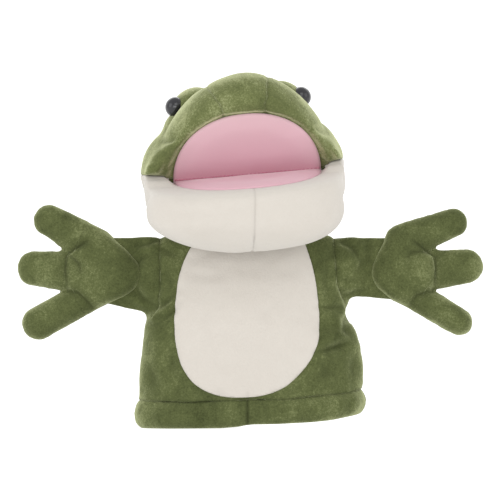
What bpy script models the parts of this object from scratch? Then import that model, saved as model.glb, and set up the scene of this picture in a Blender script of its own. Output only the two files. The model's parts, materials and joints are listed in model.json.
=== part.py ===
"""Frog hand puppet: a plush sleeve for the forearm, a stuffed head with a mouth worked by the
fingers and the thumb, and two arms with three-fingered hands.  Metres, +Z up, face towards -Y,
so the puppet's own left side is +X.  The origin is at the middle of the hem, on the table."""

import math

import bmesh
import bpy
from mathutils import Matrix, Vector

MM = 0.001

# ---------------------------------------------------------------- driving dimensions
SKIN = 2.5 * MM          # plush fabric
GAP = 0.4 * MM           # between two pieces that touch
SEAM = 0.5 * MM          # between two panels sewn edge to edge

BODY_Y = 23.0 * MM       # middle plane of the sleeve and the arms
HEM_TOP = 21.5 * MM      # height of the folded hem band
HEM_THICK = 5.5 * MM
BODY_TOP = 151.0 * MM    # where the sleeve is gathered to the neck
NECK_W, NECK_D = 44.0 * MM, 20.0 * MM

# half width, front depth and back depth of the sleeve at each height
BODY_LEVELS = [
    (0.0, 85.5, 45.0, 39.0),
    (10.0, 86.5, 46.0, 40.0),
    (21.5, 85.0, 44.0, 38.5),
    (50.0, 83.5, 40.0, 36.0),
    (78.0, 80.0, 36.0, 33.0),
    (92.0, 76.0, 32.5, 31.0),
    (104.0, 71.5, 29.5, 29.5),
    (118.0, 69.0, 26.5, 28.0),
    (134.0, 67.5, 23.5, 26.0),
    (143.0, 64.0, 22.0, 24.5),
    (148.5, 55.0, 20.5, 22.5),
    (151.0, 44.0, 19.5, 20.5),
]

# the head's frame: the crease at the back of the mouth, rolled and turned a little
HINGE = Vector((-2.5 * MM, 11.5 * MM, 189.5 * MM))
HEAD_ROLL = math.radians(-5.0)
HEAD_TURN = math.radians(3.5)
JAW_PITCH = math.radians(9.0)      # lower mouth plate slopes down to the front
PALATE_PITCH = math.radians(-49.0)  # upper mouth plate is open this far above level
NAPE_UPPER = math.radians(10.0)    # edges of the nape's gusset, below level
NAPE_LOWER = math.radians(24.0)

MOUTH_W = 56.0 * MM      # half width of the mouth at its corners
MOUTH_L = 62.0 * MM      # length of each mouth plate, corner line to lip
LINING = 1.4 * MM        # pink mouth fabric
STIFFENER = 2.0 * MM     # board behind it

EYE_R = 7.5 * MM
EYE_POST_R = 1.6 * MM
EYE_POST_L = 7.0 * MM
MOUND_AT = (32.0, 15.0, 48.5)
MOUND_R = (19.0, 21.0, 19.0)
EYE_AXIS = Vector((0.86, -0.38, 0.33)).normalized()

SHOULDER_X = 74.0 * MM
SHOULDER_Z = 118.0 * MM
SHOULDER_R = 24.0 * MM   # round end of the arm's sleeve, in the armhole
ARMHOLE_R = 27.8 * MM
WRIST_X = 104.0 * MM
ARM_T = 12.5 * MM        # half thickness of the sleeve and of the wrist
PALM_T = 14.5 * MM
FINGER_T = 10.0 * MM

# each finger: name, base centre (x, z), tip centre (x, z), half width at base and tip; the
# two hands are stuffed and spread a little differently
HANDS = {
    "left": {
        "side": 1,
        "palm": (114.5, 121.5, 26.5, 25.5),
        "fingers": [
            ("upper", (127.0, 143.0), (151.0, 153.5), 12.0, 10.3),
            ("middle", (138.0, 119.5), (162.2, 122.0), 13.2, 12.2),
            ("lower", (126.5, 96.0), (155.5, 80.0), 11.6, 10.0),
        ],
    },
    "right": {
        "side": -1,
        "palm": (113.0, 119.5, 27.5, 25.5),
        "fingers": [
            ("upper", (127.0, 142.5), (152.6, 157.2), 12.0, 10.2),
            ("middle", (139.0, 117.5), (162.4, 120.0), 13.4, 12.2),
            ("lower", (127.5, 93.5), (159.6, 78.5), 11.8, 10.6),
        ],
    },
}

GREEN = (0.27, 0.34, 0.13)
CREAM = (0.86, 0.83, 0.76)
PINK = (0.82, 0.52, 0.58)
BLACK = (0.02, 0.02, 0.025)
WHITE = (0.9, 0.9, 0.9)
GREY = (0.45, 0.45, 0.42)
THREAD = (0.5, 0.2, 0.27)


# ---------------------------------------------------------------- scene and helpers
for old in list(bpy.data.objects):
    bpy.data.objects.remove(old, do_unlink=True)

puppet = bpy.data.collections.new("frog_hand_puppet")
cutters = bpy.data.collections.new("cutters")
bpy.context.scene.collection.children.link(puppet)
bpy.context.scene.collection.children.link(cutters)


def material(name, colour, roughness, metallic=0.0):
    m = bpy.data.materials.new(name)
    m.use_nodes = True
    shader = m.node_tree.nodes["Principled BSDF"]
    shader.inputs["Base Color"].default_value = (*colour, 1.0)
    shader.inputs["Roughness"].default_value = roughness
    shader.inputs["Metallic"].default_value = metallic
    return m


MATERIALS = {
    "green_plush": material("green_plush", GREEN, 0.9),
    "cream_plush": material("cream_plush", CREAM, 0.9),
    "pink_lining": material("pink_lining", PINK, 0.7),
    "stuffing": material("stuffing", WHITE, 1.0),
    "board": material("board", GREY, 0.8),
    "eye_black": material("eye_black", BLACK, 0.12),
    "washer_white": material("washer_white", WHITE, 0.5),
    "inner_cloth": material("inner_cloth", GREY, 0.9),
    "thread": material("thread", THREAD, 0.8),
}


def new_object(name, mesh, frame=None, helper=False):
    obj = bpy.data.objects.new(name, mesh)
    (cutters if helper else puppet).objects.link(obj)
    if frame is not None:
        obj.matrix_world = frame
    if helper:
        obj.hide_render = True
        obj.display_type = "WIRE"
    return obj


def from_bmesh(name, bm, frame=None, helper=True):
    bmesh.ops.recalc_face_normals(bm, faces=bm.faces)
    mesh = bpy.data.meshes.new(name)
    bm.to_mesh(mesh)
    bm.free()
    return new_object(name, mesh, frame, helper)


def signed(pair, v):
    return pair[0] if v < 0 else pair[1]


def form(name, frame, centre, radii, p=2.0, q=2.0, grow=0.0, u=22, v=12):
    """A stuffed pillow form: a UV sphere moulded to a superellipsoid, with its own radius on
    each side.  centre and radii are in millimetres."""
    bm = bmesh.new()
    bmesh.ops.create_uvsphere(bm, u_segments=u, v_segments=v, radius=1.0)
    for vert in bm.verts:
        d = vert.co
        a = [signed(radii[k], d[k]) * MM + grow for k in range(3)]
        e = (abs(d.x) ** p + abs(d.y) ** p) ** (q / p) + abs(d.z) ** q
        r = e ** (-1.0 / q)
        vert.co = Vector([centre[k] * MM + d[k] * r * a[k] for k in range(3)])
    return from_bmesh(name, bm, frame)


def box(name, frame, low, high):
    bm = bmesh.new()
    bmesh.ops.create_cube(bm, size=1.0)
    for vert in bm.verts:
        vert.co = Vector([(low[k] + high[k]) / 2 + vert.co[k] * (high[k] - low[k]) for k in range(3)])
    return from_bmesh(name, bm, frame)


def cylinder(name, frame, r1, r2, low, high, segments=24):
    """An upright elliptical cylinder, from z = low to z = high in its frame."""
    bm = bmesh.new()
    bmesh.ops.create_cone(bm, cap_ends=True, segments=segments, radius1=1, radius2=1, depth=high - low)
    for vert in bm.verts:
        vert.co = Vector((vert.co.x * r1, vert.co.y * r2, vert.co.z + (high + low) / 2))
    return from_bmesh(name, bm, frame)


def d_plate(name, frame, half_w, length, low, high, back=0.0, segments=28):
    """A D-shaped plate: its straight edge lies along X at y = back, and it bulges to -Y."""
    bm = bmesh.new()
    bmesh.ops.create_cone(bm, cap_ends=True, segments=segments, radius1=1, radius2=1, depth=high - low)
    power = 2.0 / 2.15
    for vert in bm.verts:
        x, y = vert.co.x, vert.co.y
        x = math.copysign(abs(x) ** power, x) * half_w
        y = math.copysign(abs(y) ** power, y) * length
        vert.co = Vector((x, y, vert.co.z + (high + low) / 2))
    plate = from_bmesh(name, bm, frame)
    keep = box(name + "_front", frame, (-0.2, -0.2, low - 0.01), (0.2, back, high + 0.01))
    return meet(plate, keep)


def baked(obj):
    """Puts the evaluated mesh in place of the object's own and drops the modifiers."""
    graph = bpy.context.evaluated_depsgraph_get()
    mesh = bpy.data.meshes.new_from_object(obj.evaluated_get(graph))
    obj.modifiers.clear()
    old = obj.data
    obj.data = mesh
    bpy.data.meshes.remove(old)
    return obj


def boolean(obj, other, operation):
    bpy.context.view_layer.update()
    m = obj.modifiers.new(operation.lower(), "BOOLEAN")
    m.operation = operation
    m.object = other
    return baked(obj)


def cut(obj, *others):
    for other in others:
        boolean(obj, other, "DIFFERENCE")
    return obj


def meet(obj, *others):
    for other in others:
        boolean(obj, other, "INTERSECT")
    return obj


def copy_of(obj, name):
    return new_object(name, obj.data.copy(), obj.matrix_world.copy(), helper=True)


def join_points(name, frame, parts, helper=True):
    """The convex hull of several ellipsoids, each (centre, radii) in metres: a stuffed finger."""
    bm = bmesh.new()
    for centre, radii in parts:
        made = bmesh.ops.create_uvsphere(bm, u_segments=12, v_segments=7, radius=1.0)["verts"]
        for vert in made:
            vert.co = Vector([centre[k] + vert.co[k] * radii[k] for k in range(3)])
    bmesh.ops.delete(bm, geom=bm.edges[:] + bm.faces[:], context="EDGES_FACES")
    bmesh.ops.convex_hull(bm, input=bm.verts[:])
    bmesh.ops.delete(bm, geom=[v for v in bm.verts if not v.link_faces], context="VERTS")
    return from_bmesh(name, bm, frame, helper)


def sleeve_shell(name, levels, thickness, inset, segments=30):
    """An oval cloth tube: loops bridged one to the next, given thickness inwards."""
    bm = bmesh.new()
    loops = []
    for z, w, front, back in levels:
        ring = bmesh.ops.create_circle(bm, segments=segments, radius=1.0, cap_ends=False)["verts"]
        for vert in ring:
            angle = math.atan2(vert.co.y, vert.co.x)
            c, s = math.cos(angle), math.sin(angle)
            depth = front if s < 0 else back
            power = 2.0 / 2.3
            x = math.copysign(abs(c) ** power, c) * (w * MM - inset)
            y = math.copysign(abs(s) ** power, s) * (depth * MM - inset)
            vert.co = Vector((x, BODY_Y + y, z * MM))
        loops.append(ring)
    edges = []
    for ring in loops:
        edges.append([e for e in bm.edges if e.verts[0] in ring and e.verts[1] in ring])
    for lower, upper in zip(edges, edges[1:]):
        bmesh.ops.bridge_loops(bm, edges=lower + upper)
    tube = from_bmesh(name, bm)
    solid = tube.modifiers.new("thickness", "SOLIDIFY")
    solid.thickness = thickness
    solid.offset = -1.0
    solid.use_even_offset = True
    return baked(tube)


def part(obj, name, slot, smooth=35.0):
    """Names a finished piece, gives it its material and moves it out of the cutters."""
    obj.name = name
    obj.data.name = name
    cutters.objects.unlink(obj)
    puppet.objects.link(obj)
    obj.hide_render = False
    obj.display_type = "TEXTURED"
    obj.data.materials.clear()
    obj.data.materials.append(MATERIALS[slot])
    for face in obj.data.polygons:
        face.material_index = 0
    obj.data.shade_smooth()
    obj.data.set_sharp_from_angle(angle=math.radians(smooth))
    return obj


def body_empty(name, at):
    empty = bpy.data.objects.new(name, None)
    empty.empty_display_size = 0.02
    puppet.objects.link(empty)
    empty.location = at
    return empty


WORLD = Matrix.Identity(4)
HEAD = Matrix.Translation(HINGE) @ Matrix.Rotation(HEAD_TURN, 4, "Z") @ Matrix.Rotation(HEAD_ROLL, 4, "Y")
JAW = HEAD @ Matrix.Rotation(JAW_PITCH, 4, "X")
PALATE = HEAD @ Matrix.Rotation(PALATE_PITCH, 4, "X")
NECK_AT = Vector((0.0, BODY_Y, 154.0 * MM))
NECK = Matrix.Translation(NECK_AT)

# ---------------------------------------------------------------- sleeve (the forearm's casing)
levels_up = [lv for lv in BODY_LEVELS if lv[0] >= 21.5]
levels_up[0] = (22.0, *levels_up[0][1:])
hem_levels = [(0.0, 85.5, 45.0, 39.0), (8.0, 86.6, 46.0, 40.0), (15.0, 86.4, 45.6, 39.6), (21.5, 85.0, 44.0, 38.5)]

hem = sleeve_shell("hem_raw", hem_levels, HEM_THICK, 0.0)
# the fold of the hem is pressed flat, so that the puppet stands on one level ring
for vert in hem.data.vertices:
    if vert.co.z < 4.0 * MM:
        vert.co.z = 0.0
part(hem, "hem_band", "green_plush")

ARMHOLES = []
for side in (-1, 1):
    turn = Matrix.Translation((side * SHOULDER_X, BODY_Y, SHOULDER_Z)) @ Matrix.Rotation(math.pi / 2, 4, "X")
    ARMHOLES.append(cylinder(f"armhole_{side}", turn, ARMHOLE_R, ARMHOLE_R, -16 * MM, 16 * MM))

shell = sleeve_shell("sleeve_raw", levels_up, SKIN, 0.0)
cut(shell, *ARMHOLES)

belly_tool = cylinder(
    "belly_oval",
    Matrix.Translation((-2.8 * MM, 0.0, 78.0 * MM)) @ Matrix.Rotation(math.pi / 2, 4, "X"),
    54.0 * MM, 55.5 * MM, 0.0, 0.1, 32,
)
neck_strip = box("belly_throat", WORLD, (-44 * MM, -0.1, 92 * MM), (41 * MM, BODY_Y - 4 * MM, 160 * MM))
front_half = box("front_half", WORLD, (-0.2, -0.2, -0.01), (0.2, BODY_Y - SEAM / 2, 0.2))
back_half = box("back_half", WORLD, (-0.2, BODY_Y + SEAM / 2, -0.01), (0.2, 0.3, 0.2))
left_half = box("left_half", WORLD, (SEAM / 2, -0.2, -0.1), (0.2, 0.3, 0.4))
right_half = box("right_half", WORLD, (-0.2, -0.2, -0.1), (-SEAM / 2, 0.3, 0.4))

belly_region = copy_of(belly_tool, "belly_region")
boolean(belly_region, neck_strip, "UNION")
belly_hole = cylinder(
    "belly_hole",
    Matrix.Translation((-2.8 * MM, 0.0, 78.0 * MM)) @ Matrix.Rotation(math.pi / 2, 4, "X"),
    54.0 * MM + SEAM, 55.5 * MM + SEAM, 0.0, 0.1, 32,
)
throat_hole = box(
    "throat_hole", WORLD, (-44 * MM - SEAM, -0.1, 92 * MM), (41 * MM + SEAM, BODY_Y - 4 * MM + SEAM, 160 * MM)
)
boolean(belly_hole, throat_hole, "UNION")

part(meet(copy_of(shell, "belly_raw"), front_half, belly_region), "belly_panel", "cream_plush")
for name, half in (("left", left_half), ("right", right_half)):
    front = meet(copy_of(shell, "front_raw"), front_half, half)
    part(cut(front, belly_hole), f"body_front_panel_{name}", "green_plush")
    part(meet(copy_of(shell, "back_raw"), back_half, half), f"body_back_panel_{name}", "green_plush")

lining_levels = [(23.0, 84.8, 43.8, 38.3), *[lv for lv in BODY_LEVELS if 50.0 <= lv[0] <= 134.0]]
lining = sleeve_shell("lining_raw", lining_levels, 0.9 * MM, SKIN + 0.9 * MM)
part(cut(lining, *ARMHOLES), "sleeve_lining", "inner_cloth")

neck_levels = [(151.6, 44.5, 20.0, 21.0), (153.5, 45.5, 21.0, 22.0), (155.5, 45.0, 20.5, 21.5), (158.5, 43.5, 19.0, 20.0)]
neck = sleeve_shell("neck_raw", neck_levels, 3.0 * MM, 0.0, 28)
part(neck, "neck_binding", "green_plush")

# ---------------------------------------------------------------- lower jaw
JAW_W = (80.0, 71.5)     # the stuffing sits a little to the puppet's right
JAW_FORM = dict(centre=(0, -6, -8), radii=(JAW_W, (73, 52), (27, 30)), p=2.3, q=2.9)
CHIN_W = (79.2, 70.7)
CHIN_FORM = dict(centre=(0, -37, -22), radii=(CHIN_W, (42, 19), (37.5, 34)), p=2.3, q=2.7)
below_mouth = box("below_mouth", JAW, (-0.2, -0.2, -0.2), (0.2, 0.2, -0.3 * MM))
below_nape = box("below_nape", HEAD @ Matrix.Rotation(-NAPE_LOWER, 4, "X"), (-0.2, -0.2, -0.2), (0.2, 0.2, -0.3 * MM))
neck_hole = cylinder("neck_hole", NECK, NECK_W + 4.5 * MM, NECK_D + 4.5 * MM, -0.03, 0.014, 28)
jaw_front = box("jaw_front", HEAD, (-0.2, -0.2, -0.2), (0.2, 4.0 * MM - SEAM / 2, 0.1))
jaw_back = box("jaw_back", HEAD, (-0.2, 4.0 * MM + SEAM / 2, -0.2), (0.2, 0.2, 0.1))
jaw_left = box("jaw_left", HEAD, (SEAM / 2, -0.2, -0.2), (0.2, 0.2, 0.1))
jaw_right = box("jaw_right", HEAD, (-0.2, -0.2, -0.2), (-SEAM / 2, 0.2, 0.1))



def jaw_form(label, grow):
    jaw = form(label, HEAD, grow=grow, **JAW_FORM)
    return boolean(jaw, form(label + "_chin", HEAD, grow=grow, **CHIN_FORM), "UNION")


jaw_outer = jaw_form("jaw_outer", 0.0)
jaw_inner = jaw_form("jaw_inner", -SKIN)
meet(jaw_inner, box("jaw_under_lip", JAW, (-0.2, -0.2, -0.2), (0.2, 0.2, -0.3 * MM - SKIN)))
jaw_mouth = d_plate("jaw_mouth", JAW, MOUTH_W + GAP, MOUTH_L + GAP, -0.02, 0.02, back=0.1)
jaw_shell = meet(jaw_outer, below_mouth, below_nape)
cut(jaw_shell, jaw_inner, jaw_mouth, neck_hole)
part(meet(copy_of(jaw_shell, "chin_l"), jaw_front, jaw_left), "chin_panel_left", "cream_plush")
part(meet(copy_of(jaw_shell, "chin_r"), jaw_front, jaw_right), "chin_panel_right", "cream_plush")
part(meet(copy_of(jaw_shell, "nape"), jaw_back), "nape_panel", "green_plush")

jaw_lining = d_plate("jaw_lining", JAW, MOUTH_W, MOUTH_L, -0.3 * MM - LINING, -0.3 * MM, back=-1.2 * MM)
part(jaw_lining, "mouth_lining_lower", "pink_lining")
jaw_board = d_plate(
    "jaw_board", JAW, MOUTH_W - 2 * MM, MOUTH_L - 2 * MM,
    -0.7 * MM - LINING - STIFFENER, -0.7 * MM - LINING, back=-3.0 * MM,
)
part(jaw_board, "mouth_board_lower", "board")

# thumb pocket: a flat cloth tube under the lower board, open to the hand cavity
pocket_top = -0.7 * MM - LINING - STIFFENER - GAP
thumb_out = form(
    "thumb_out", JAW @ Matrix.Translation((0, 0, pocket_top - 10 * MM)),
    centre=(0, -10, 0), radii=((19, 19), (44, 30), (10, 10)), p=4.0, q=4.0, u=16, v=8,
)
thumb_in = form(
    "thumb_in", JAW @ Matrix.Translation((0, 0, pocket_top - 10 * MM)),
    centre=(0, -10, 0), radii=((17.8, 17.8), (42.8, 60), (8.8, 8.8)), p=4.0, q=4.0, u=16, v=8,
)
thumb_keep = box("thumb_keep", JAW, (-0.1, -0.1, -0.1), (0.1, -3.5 * MM, 0.1))
thumb_solid = form(
    "thumb_solid", JAW @ Matrix.Translation((0, 0, pocket_top - 10 * MM)),
    centre=(0, -10, 0), radii=((19.8, 19.8), (44.8, 60), (10.8, 12)), p=4.0, q=4.0, u=16, v=8,
)
part(cut(meet(thumb_out, thumb_keep), thumb_in), "thumb_pocket", "inner_cloth")

jaw_fill = jaw_form("jaw_fill", -SKIN - GAP)
meet(jaw_fill, box("fill_front", JAW, (-0.2, -0.2, -0.2), (0.2, 3.4 * MM, pocket_top)))
hand_space = form(
    "hand_space", HEAD, centre=(0, 22, -20), radii=((46, 46), (27, 40), (60, 60)), p=3.0, q=4.0, u=16, v=8
)
cut(jaw_fill, thumb_solid, hand_space, neck_hole)
part(jaw_fill, "lower_jaw_stuffing", "stuffing")

bm = bmesh.new()
bmesh.ops.create_cone(bm, cap_ends=True, segments=8, radius1=0.6 * MM, radius2=0.6 * MM, depth=2 * MOUTH_W - 2 * MM)
crease = from_bmesh("crease", bm, HEAD @ Matrix.Rotation(math.pi / 2, 4, "Y"))
part(crease, "mouth_crease_stitching", "thread")

# ---------------------------------------------------------------- upper head
HEAD_FORM = dict(centre=(0, -2, 12), radii=((76.5, 69.5), (83, 52), (18, 44)), p=1.7, q=2.1)
above_palate = box("above_palate", PALATE, (-0.2, -0.2, 0.3 * MM), (0.2, 0.2, 0.2))
above_nape = box("above_nape", HEAD @ Matrix.Rotation(-NAPE_UPPER, 4, "X"), (-0.2, -0.2, 0.3 * MM), (0.2, 0.2, 0.2))
brow_tilt = HEAD @ Matrix.Translation((0, 3 * MM, 0)) @ Matrix.Rotation(math.radians(8), 4, "X")
brow_front = box("brow_front", brow_tilt, (-0.2, -0.2, -0.1), (0.2, -SEAM / 2, 0.2))
brow_back = box("brow_back", brow_tilt, (-0.2, SEAM / 2, -0.1), (0.2, 0.2, 0.2))
CROWN_HALF = 19.5 * MM
crown_mid = box("crown_mid", HEAD, (-CROWN_HALF + SEAM / 2, -0.2, -0.1), (CROWN_HALF - SEAM / 2, 0.2, 0.2))
crown_left = box("crown_left", HEAD, (CROWN_HALF + SEAM / 2, -0.2, -0.1), (0.2, 0.2, 0.2))
crown_right = box("crown_right", HEAD, (-0.2, -0.2, -0.1), (-CROWN_HALF - SEAM / 2, 0.2, 0.2))

head_outer = form("head_outer", PALATE, grow=0.0, **HEAD_FORM)
head_whole = form("head_whole", PALATE, grow=GAP, **HEAD_FORM)
head_inner = form("head_inner", PALATE, grow=-SKIN, **HEAD_FORM)
meet(head_inner, box("head_over_lip", PALATE, (-0.2, -0.2, 0.3 * MM + SKIN), (0.2, 0.2, 0.2)))
head_mouth = d_plate("head_mouth", PALATE, MOUTH_W + GAP, MOUTH_L + GAP, -0.02, 0.02, back=0.1)
head_shell = meet(head_outer, above_palate, above_nape)


def eye_seat(side):
    """Middle of the mound, and the frame of the eye on its outer side, its Z pointing out."""
    middle = Vector((side * MOUND_AT[0] - 2.5, MOUND_AT[1], MOUND_AT[2])) * MM
    axis = Vector((side * EYE_AXIS.x, EYE_AXIS.y, EYE_AXIS.z))
    reach = 1.0 / math.sqrt(sum((axis[k] / (MOUND_R[k] * MM)) ** 2 for k in range(3)))
    facing = axis.to_track_quat("Z", "Y").to_matrix().to_4x4()
    return middle, HEAD @ Matrix.Translation(middle + axis * (reach + GAP)) @ facing


eye_rooms = []
for side in (1, -1):
    eye_rooms.append(form(f"eye_room_{side}", eye_seat(side)[1], (0, 0, 0), [(8.1, 8.1)] * 3, u=16, v=10))
cut(head_shell, head_inner, head_mouth, *eye_rooms)
part(meet(copy_of(head_shell, "crown"), brow_front, crown_mid), "crown_panel", "green_plush")
part(meet(copy_of(head_shell, "brow_l"), brow_front, crown_left), "brow_panel_left", "green_plush")
part(meet(copy_of(head_shell, "brow_r"), brow_front, crown_right), "brow_panel_right", "green_plush")
part(meet(copy_of(head_shell, "head_back"), brow_back), "head_back_panel", "green_plush")

palate = d_plate("palate", PALATE, MOUTH_W, MOUTH_L, 0.3 * MM, 0.3 * MM + LINING, back=-1.2 * MM)
part(palate, "mouth_lining_upper", "pink_lining")
palate_board = d_plate(
    "palate_board", PALATE, MOUTH_W - 2 * MM, MOUTH_L - 2 * MM,
    0.7 * MM + LINING, 0.7 * MM + LINING + STIFFENER, back=-3.0 * MM,
)
part(palate_board, "mouth_board_upper", "board")

# finger pocket: a wide flat cloth tube on the upper board
pocket_low = 0.7 * MM + LINING + STIFFENER + GAP
finger_frame = PALATE @ Matrix.Translation((0, 0, pocket_low + 10 * MM))
pocket = dict(centre=(0, -10, 0), p=4.0, q=4.0, u=16, v=8)
finger_out = form("finger_out", finger_frame, radii=((41, 41), (48, 30), (10, 10)), **pocket)
finger_in = form("finger_in", finger_frame, radii=((39.8, 39.8), (46.8, 60), (8.8, 8.8)), **pocket)
finger_solid = form("finger_solid", finger_frame, radii=((41.9, 41.9), (48.9, 60), (12, 10.9)), **pocket)
finger_keep = box("finger_keep", PALATE, (-0.1, -0.1, -0.1), (0.1, -3.5 * MM, 0.1))
part(cut(meet(finger_out, finger_keep), finger_in), "finger_pocket", "inner_cloth")

head_fill = form("head_fill", PALATE, grow=-SKIN - GAP, **HEAD_FORM)
meet(head_fill, above_nape, box("fill_up", PALATE, (-0.2, -0.2, pocket_low), (0.2, 8 * MM, 0.2)))
knuckles = form(
    "knuckles", HEAD, centre=(0, 20, 8), radii=((46, 46), (26, 50), (60, 26)), p=3.0, q=3.0, u=20, v=10
)
cut(head_fill, finger_solid, knuckles, *eye_rooms)
part(head_fill, "upper_head_stuffing", "stuffing")

# ---------------------------------------------------------------- eyes, washers and eye mounds
for name, side in (("left", 1), ("right", -1)):
    centre, look = eye_seat(side)
    mound = form(
        f"mound_{name}", HEAD @ Matrix.Translation(centre), (0, 0, 0),
        [(r, r) for r in MOUND_R], u=16, v=9,
    )
    post_hole = cylinder(f"post_hole_{name}", look, 2.0 * MM, 2.0 * MM, -0.02, 0.01, 10)
    washer_room = cylinder(f"washer_room_{name}", look, 5.6 * MM, 5.6 * MM, -0.04, -SKIN - 0.4 * MM, 16)
    cut(mound, head_whole, post_hole, washer_room)
    part(mound, f"eye_mound_{name}", "green_plush")

    bm = bmesh.new()
    bmesh.ops.create_uvsphere(bm, u_segments=16, v_segments=10, radius=EYE_R)
    bmesh.ops.bisect_plane(
        bm, geom=bm.verts[:] + bm.edges[:] + bm.faces[:], plane_co=(0, 0, 0.0), plane_no=(0, 0, 1), clear_inner=True
    )
    bmesh.ops.holes_fill(bm, edges=[e for e in bm.edges if e.is_boundary])
    for vert in bm.verts:
        vert.co.z *= 0.86
    eye = from_bmesh(f"eye_{name}_raw", bm, look)
    post = cylinder(f"post_{name}", look, EYE_POST_R, EYE_POST_R, -EYE_POST_L, 1.0 * MM, 8)
    boolean(eye, post, "UNION")
    part(eye, f"eye_{name}", "eye_black")

    washer = cylinder(f"washer_raw_{name}", look, 5.0 * MM, 5.0 * MM, -SKIN - 2.1 * MM, -SKIN - 0.8 * MM, 16)
    cut(washer, cylinder(f"washer_bore_{name}", look, 2.0 * MM, 2.0 * MM, -0.02, 0.01, 10))
    part(washer, f"eye_washer_{name}", "washer_white")

# ---------------------------------------------------------------- arms
for name, hand in HANDS.items():
    side = hand["side"]
    palm_x, palm_z, palm_w, palm_h = hand["palm"]
    shoulder = Vector((side * SHOULDER_X, BODY_Y, SHOULDER_Z))
    wrist = Vector((side * WRIST_X, BODY_Y, SHOULDER_Z))
    upright = Matrix.Translation(wrist)

    def arm_body(label, grow):
        """The short sleeve of the arm, from its round end in the armhole to the wrist fold."""
        return join_points(
            label, Matrix.Translation(shoulder),
            [
                ((0, 0, 0), (SHOULDER_R + grow, 14 * MM + grow, SHOULDER_R + grow)),
                ((side * 20 * MM, 0, 11 * MM), (12 * MM + grow, ARM_T + grow, 15 * MM + grow)),
                ((side * 20 * MM, 0, -11 * MM), (12 * MM + grow, ARM_T + grow, 15 * MM + grow)),
            ],
        )

    wrist_room = cylinder(f"wrist_room_{name}", upright, 14.1 * MM, 14.1 * MM, -0.03, 0.03, 20)
    sleeve = arm_body(f"arm_{name}_raw", 0.0)
    core = arm_body(f"arm_core_{name}", -SKIN)
    cut(sleeve, core, wrist_room)
    part(sleeve, f"arm_sleeve_{name}", "green_plush")
    arm_fill = arm_body(f"arm_fill_{name}", -SKIN - GAP)
    cut(arm_fill, cylinder(f"wrist_room2_{name}", upright, 15.4 * MM, 15.4 * MM, -0.03, 0.03, 20))
    part(arm_fill, f"arm_stuffing_{name}", "stuffing")

    # palm: a stuffed pad with a rounded heel about the wrist fold
    def palm_body(label, grow):
        return join_points(
            label, WORLD,
            [
                ((side * WRIST_X, BODY_Y, SHOULDER_Z + 9 * MM), (12 * MM + grow, 11.4 * MM + grow, 14 * MM + grow)),
                ((side * WRIST_X, BODY_Y, SHOULDER_Z - 9 * MM), (12 * MM + grow, 11.4 * MM + grow, 14 * MM + grow)),
                ((side * palm_x * MM, BODY_Y, palm_z * MM), (palm_w * MM * 0.92 + grow, PALM_T + grow, palm_h * MM + grow)),
            ],
        )

    palm = palm_body(f"palm_{name}_raw", 0.0)
    palm_core = palm_body(f"palm_core_{name}", -SKIN)
    palm_fill = palm_body(f"palm_fill_{name}", -SKIN - GAP)
    # the heel turns about the wrist fold, so nothing of it lies behind the fold's round end
    ends = sorted((side * WRIST_X, side * (WRIST_X - 0.04)))
    heel = box(f"heel_{name}", WORLD, (ends[0], BODY_Y - 0.05, 0.05), (ends[1], BODY_Y + 0.05, 0.19))
    heel_round = cylinder(f"heel_round_{name}", upright, 12.0 * MM, 12.0 * MM, -0.04, 0.04, 20)
    cut(heel, heel_round)
    rooms = []
    for label, base, tip, wide, narrow in hand["fingers"]:
        root = Vector((side * base[0] * MM, BODY_Y, base[1] * MM))
        end = Vector((side * tip[0] * MM, BODY_Y, tip[1] * MM))
        along = (end - root).normalized()
        across = along.cross(Vector((0, 1, 0)))
        turn = Matrix((along, across, Vector((0, 1, 0)))).transposed().to_4x4()
        frame = Matrix.Translation(root) @ turn
        reach = (end - root).length
        thick = FINGER_T

        def finger_body(tag, grow):
            return join_points(
                tag, frame,
                [
                    ((0, 0, 0), (thick + grow, wide * MM + grow, thick + grow)),
                    ((reach, 0, 0), (narrow * MM + grow, narrow * MM + grow, thick * 0.9 + grow)),
                ],
            )

        rooms.append(
            cylinder(f"finger_room_{name}_{label}", frame, thick + 0.6 * MM, wide * MM + 0.6 * MM, -0.03, 0.03, 20)
        )
        cover = finger_body(f"finger_{name}_{label}", 0.0)
        hollow = finger_body(f"finger_hollow_{name}_{label}", -1.8 * MM)
        mouth = box(
            f"finger_mouth_{name}_{label}", frame, (-0.02, -wide * MM * 0.6, -thick * 0.6), (0.0, wide * MM * 0.6, thick * 0.6)
        )
        boolean(hollow, mouth, "UNION")
        part(cut(cover, hollow), f"finger_{label}_{name}", "green_plush")
        part(
            finger_body(f"finger_fill_{name}_{label}", -1.8 * MM - GAP), f"finger_stuffing_{label}_{name}", "stuffing"
        )
    cut(palm, heel, palm_core, *rooms)
    cut(palm_fill, heel, *rooms)
    palm_front = box(f"palm_front_{name}", WORLD, (-0.3, -0.2, 0.0), (0.3, BODY_Y - SEAM / 2, 0.3))
    palm_back = box(f"palm_back_{name}", WORLD, (-0.3, BODY_Y + SEAM / 2, 0.0), (0.3, 0.3, 0.3))
    part(meet(copy_of(palm, f"pf_{name}"), palm_front), f"palm_panel_{name}", "green_plush")
    part(meet(copy_of(palm, f"pb_{name}"), palm_back), f"hand_back_panel_{name}", "green_plush")
    part(palm_fill, f"palm_stuffing_{name}", "stuffing")

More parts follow.
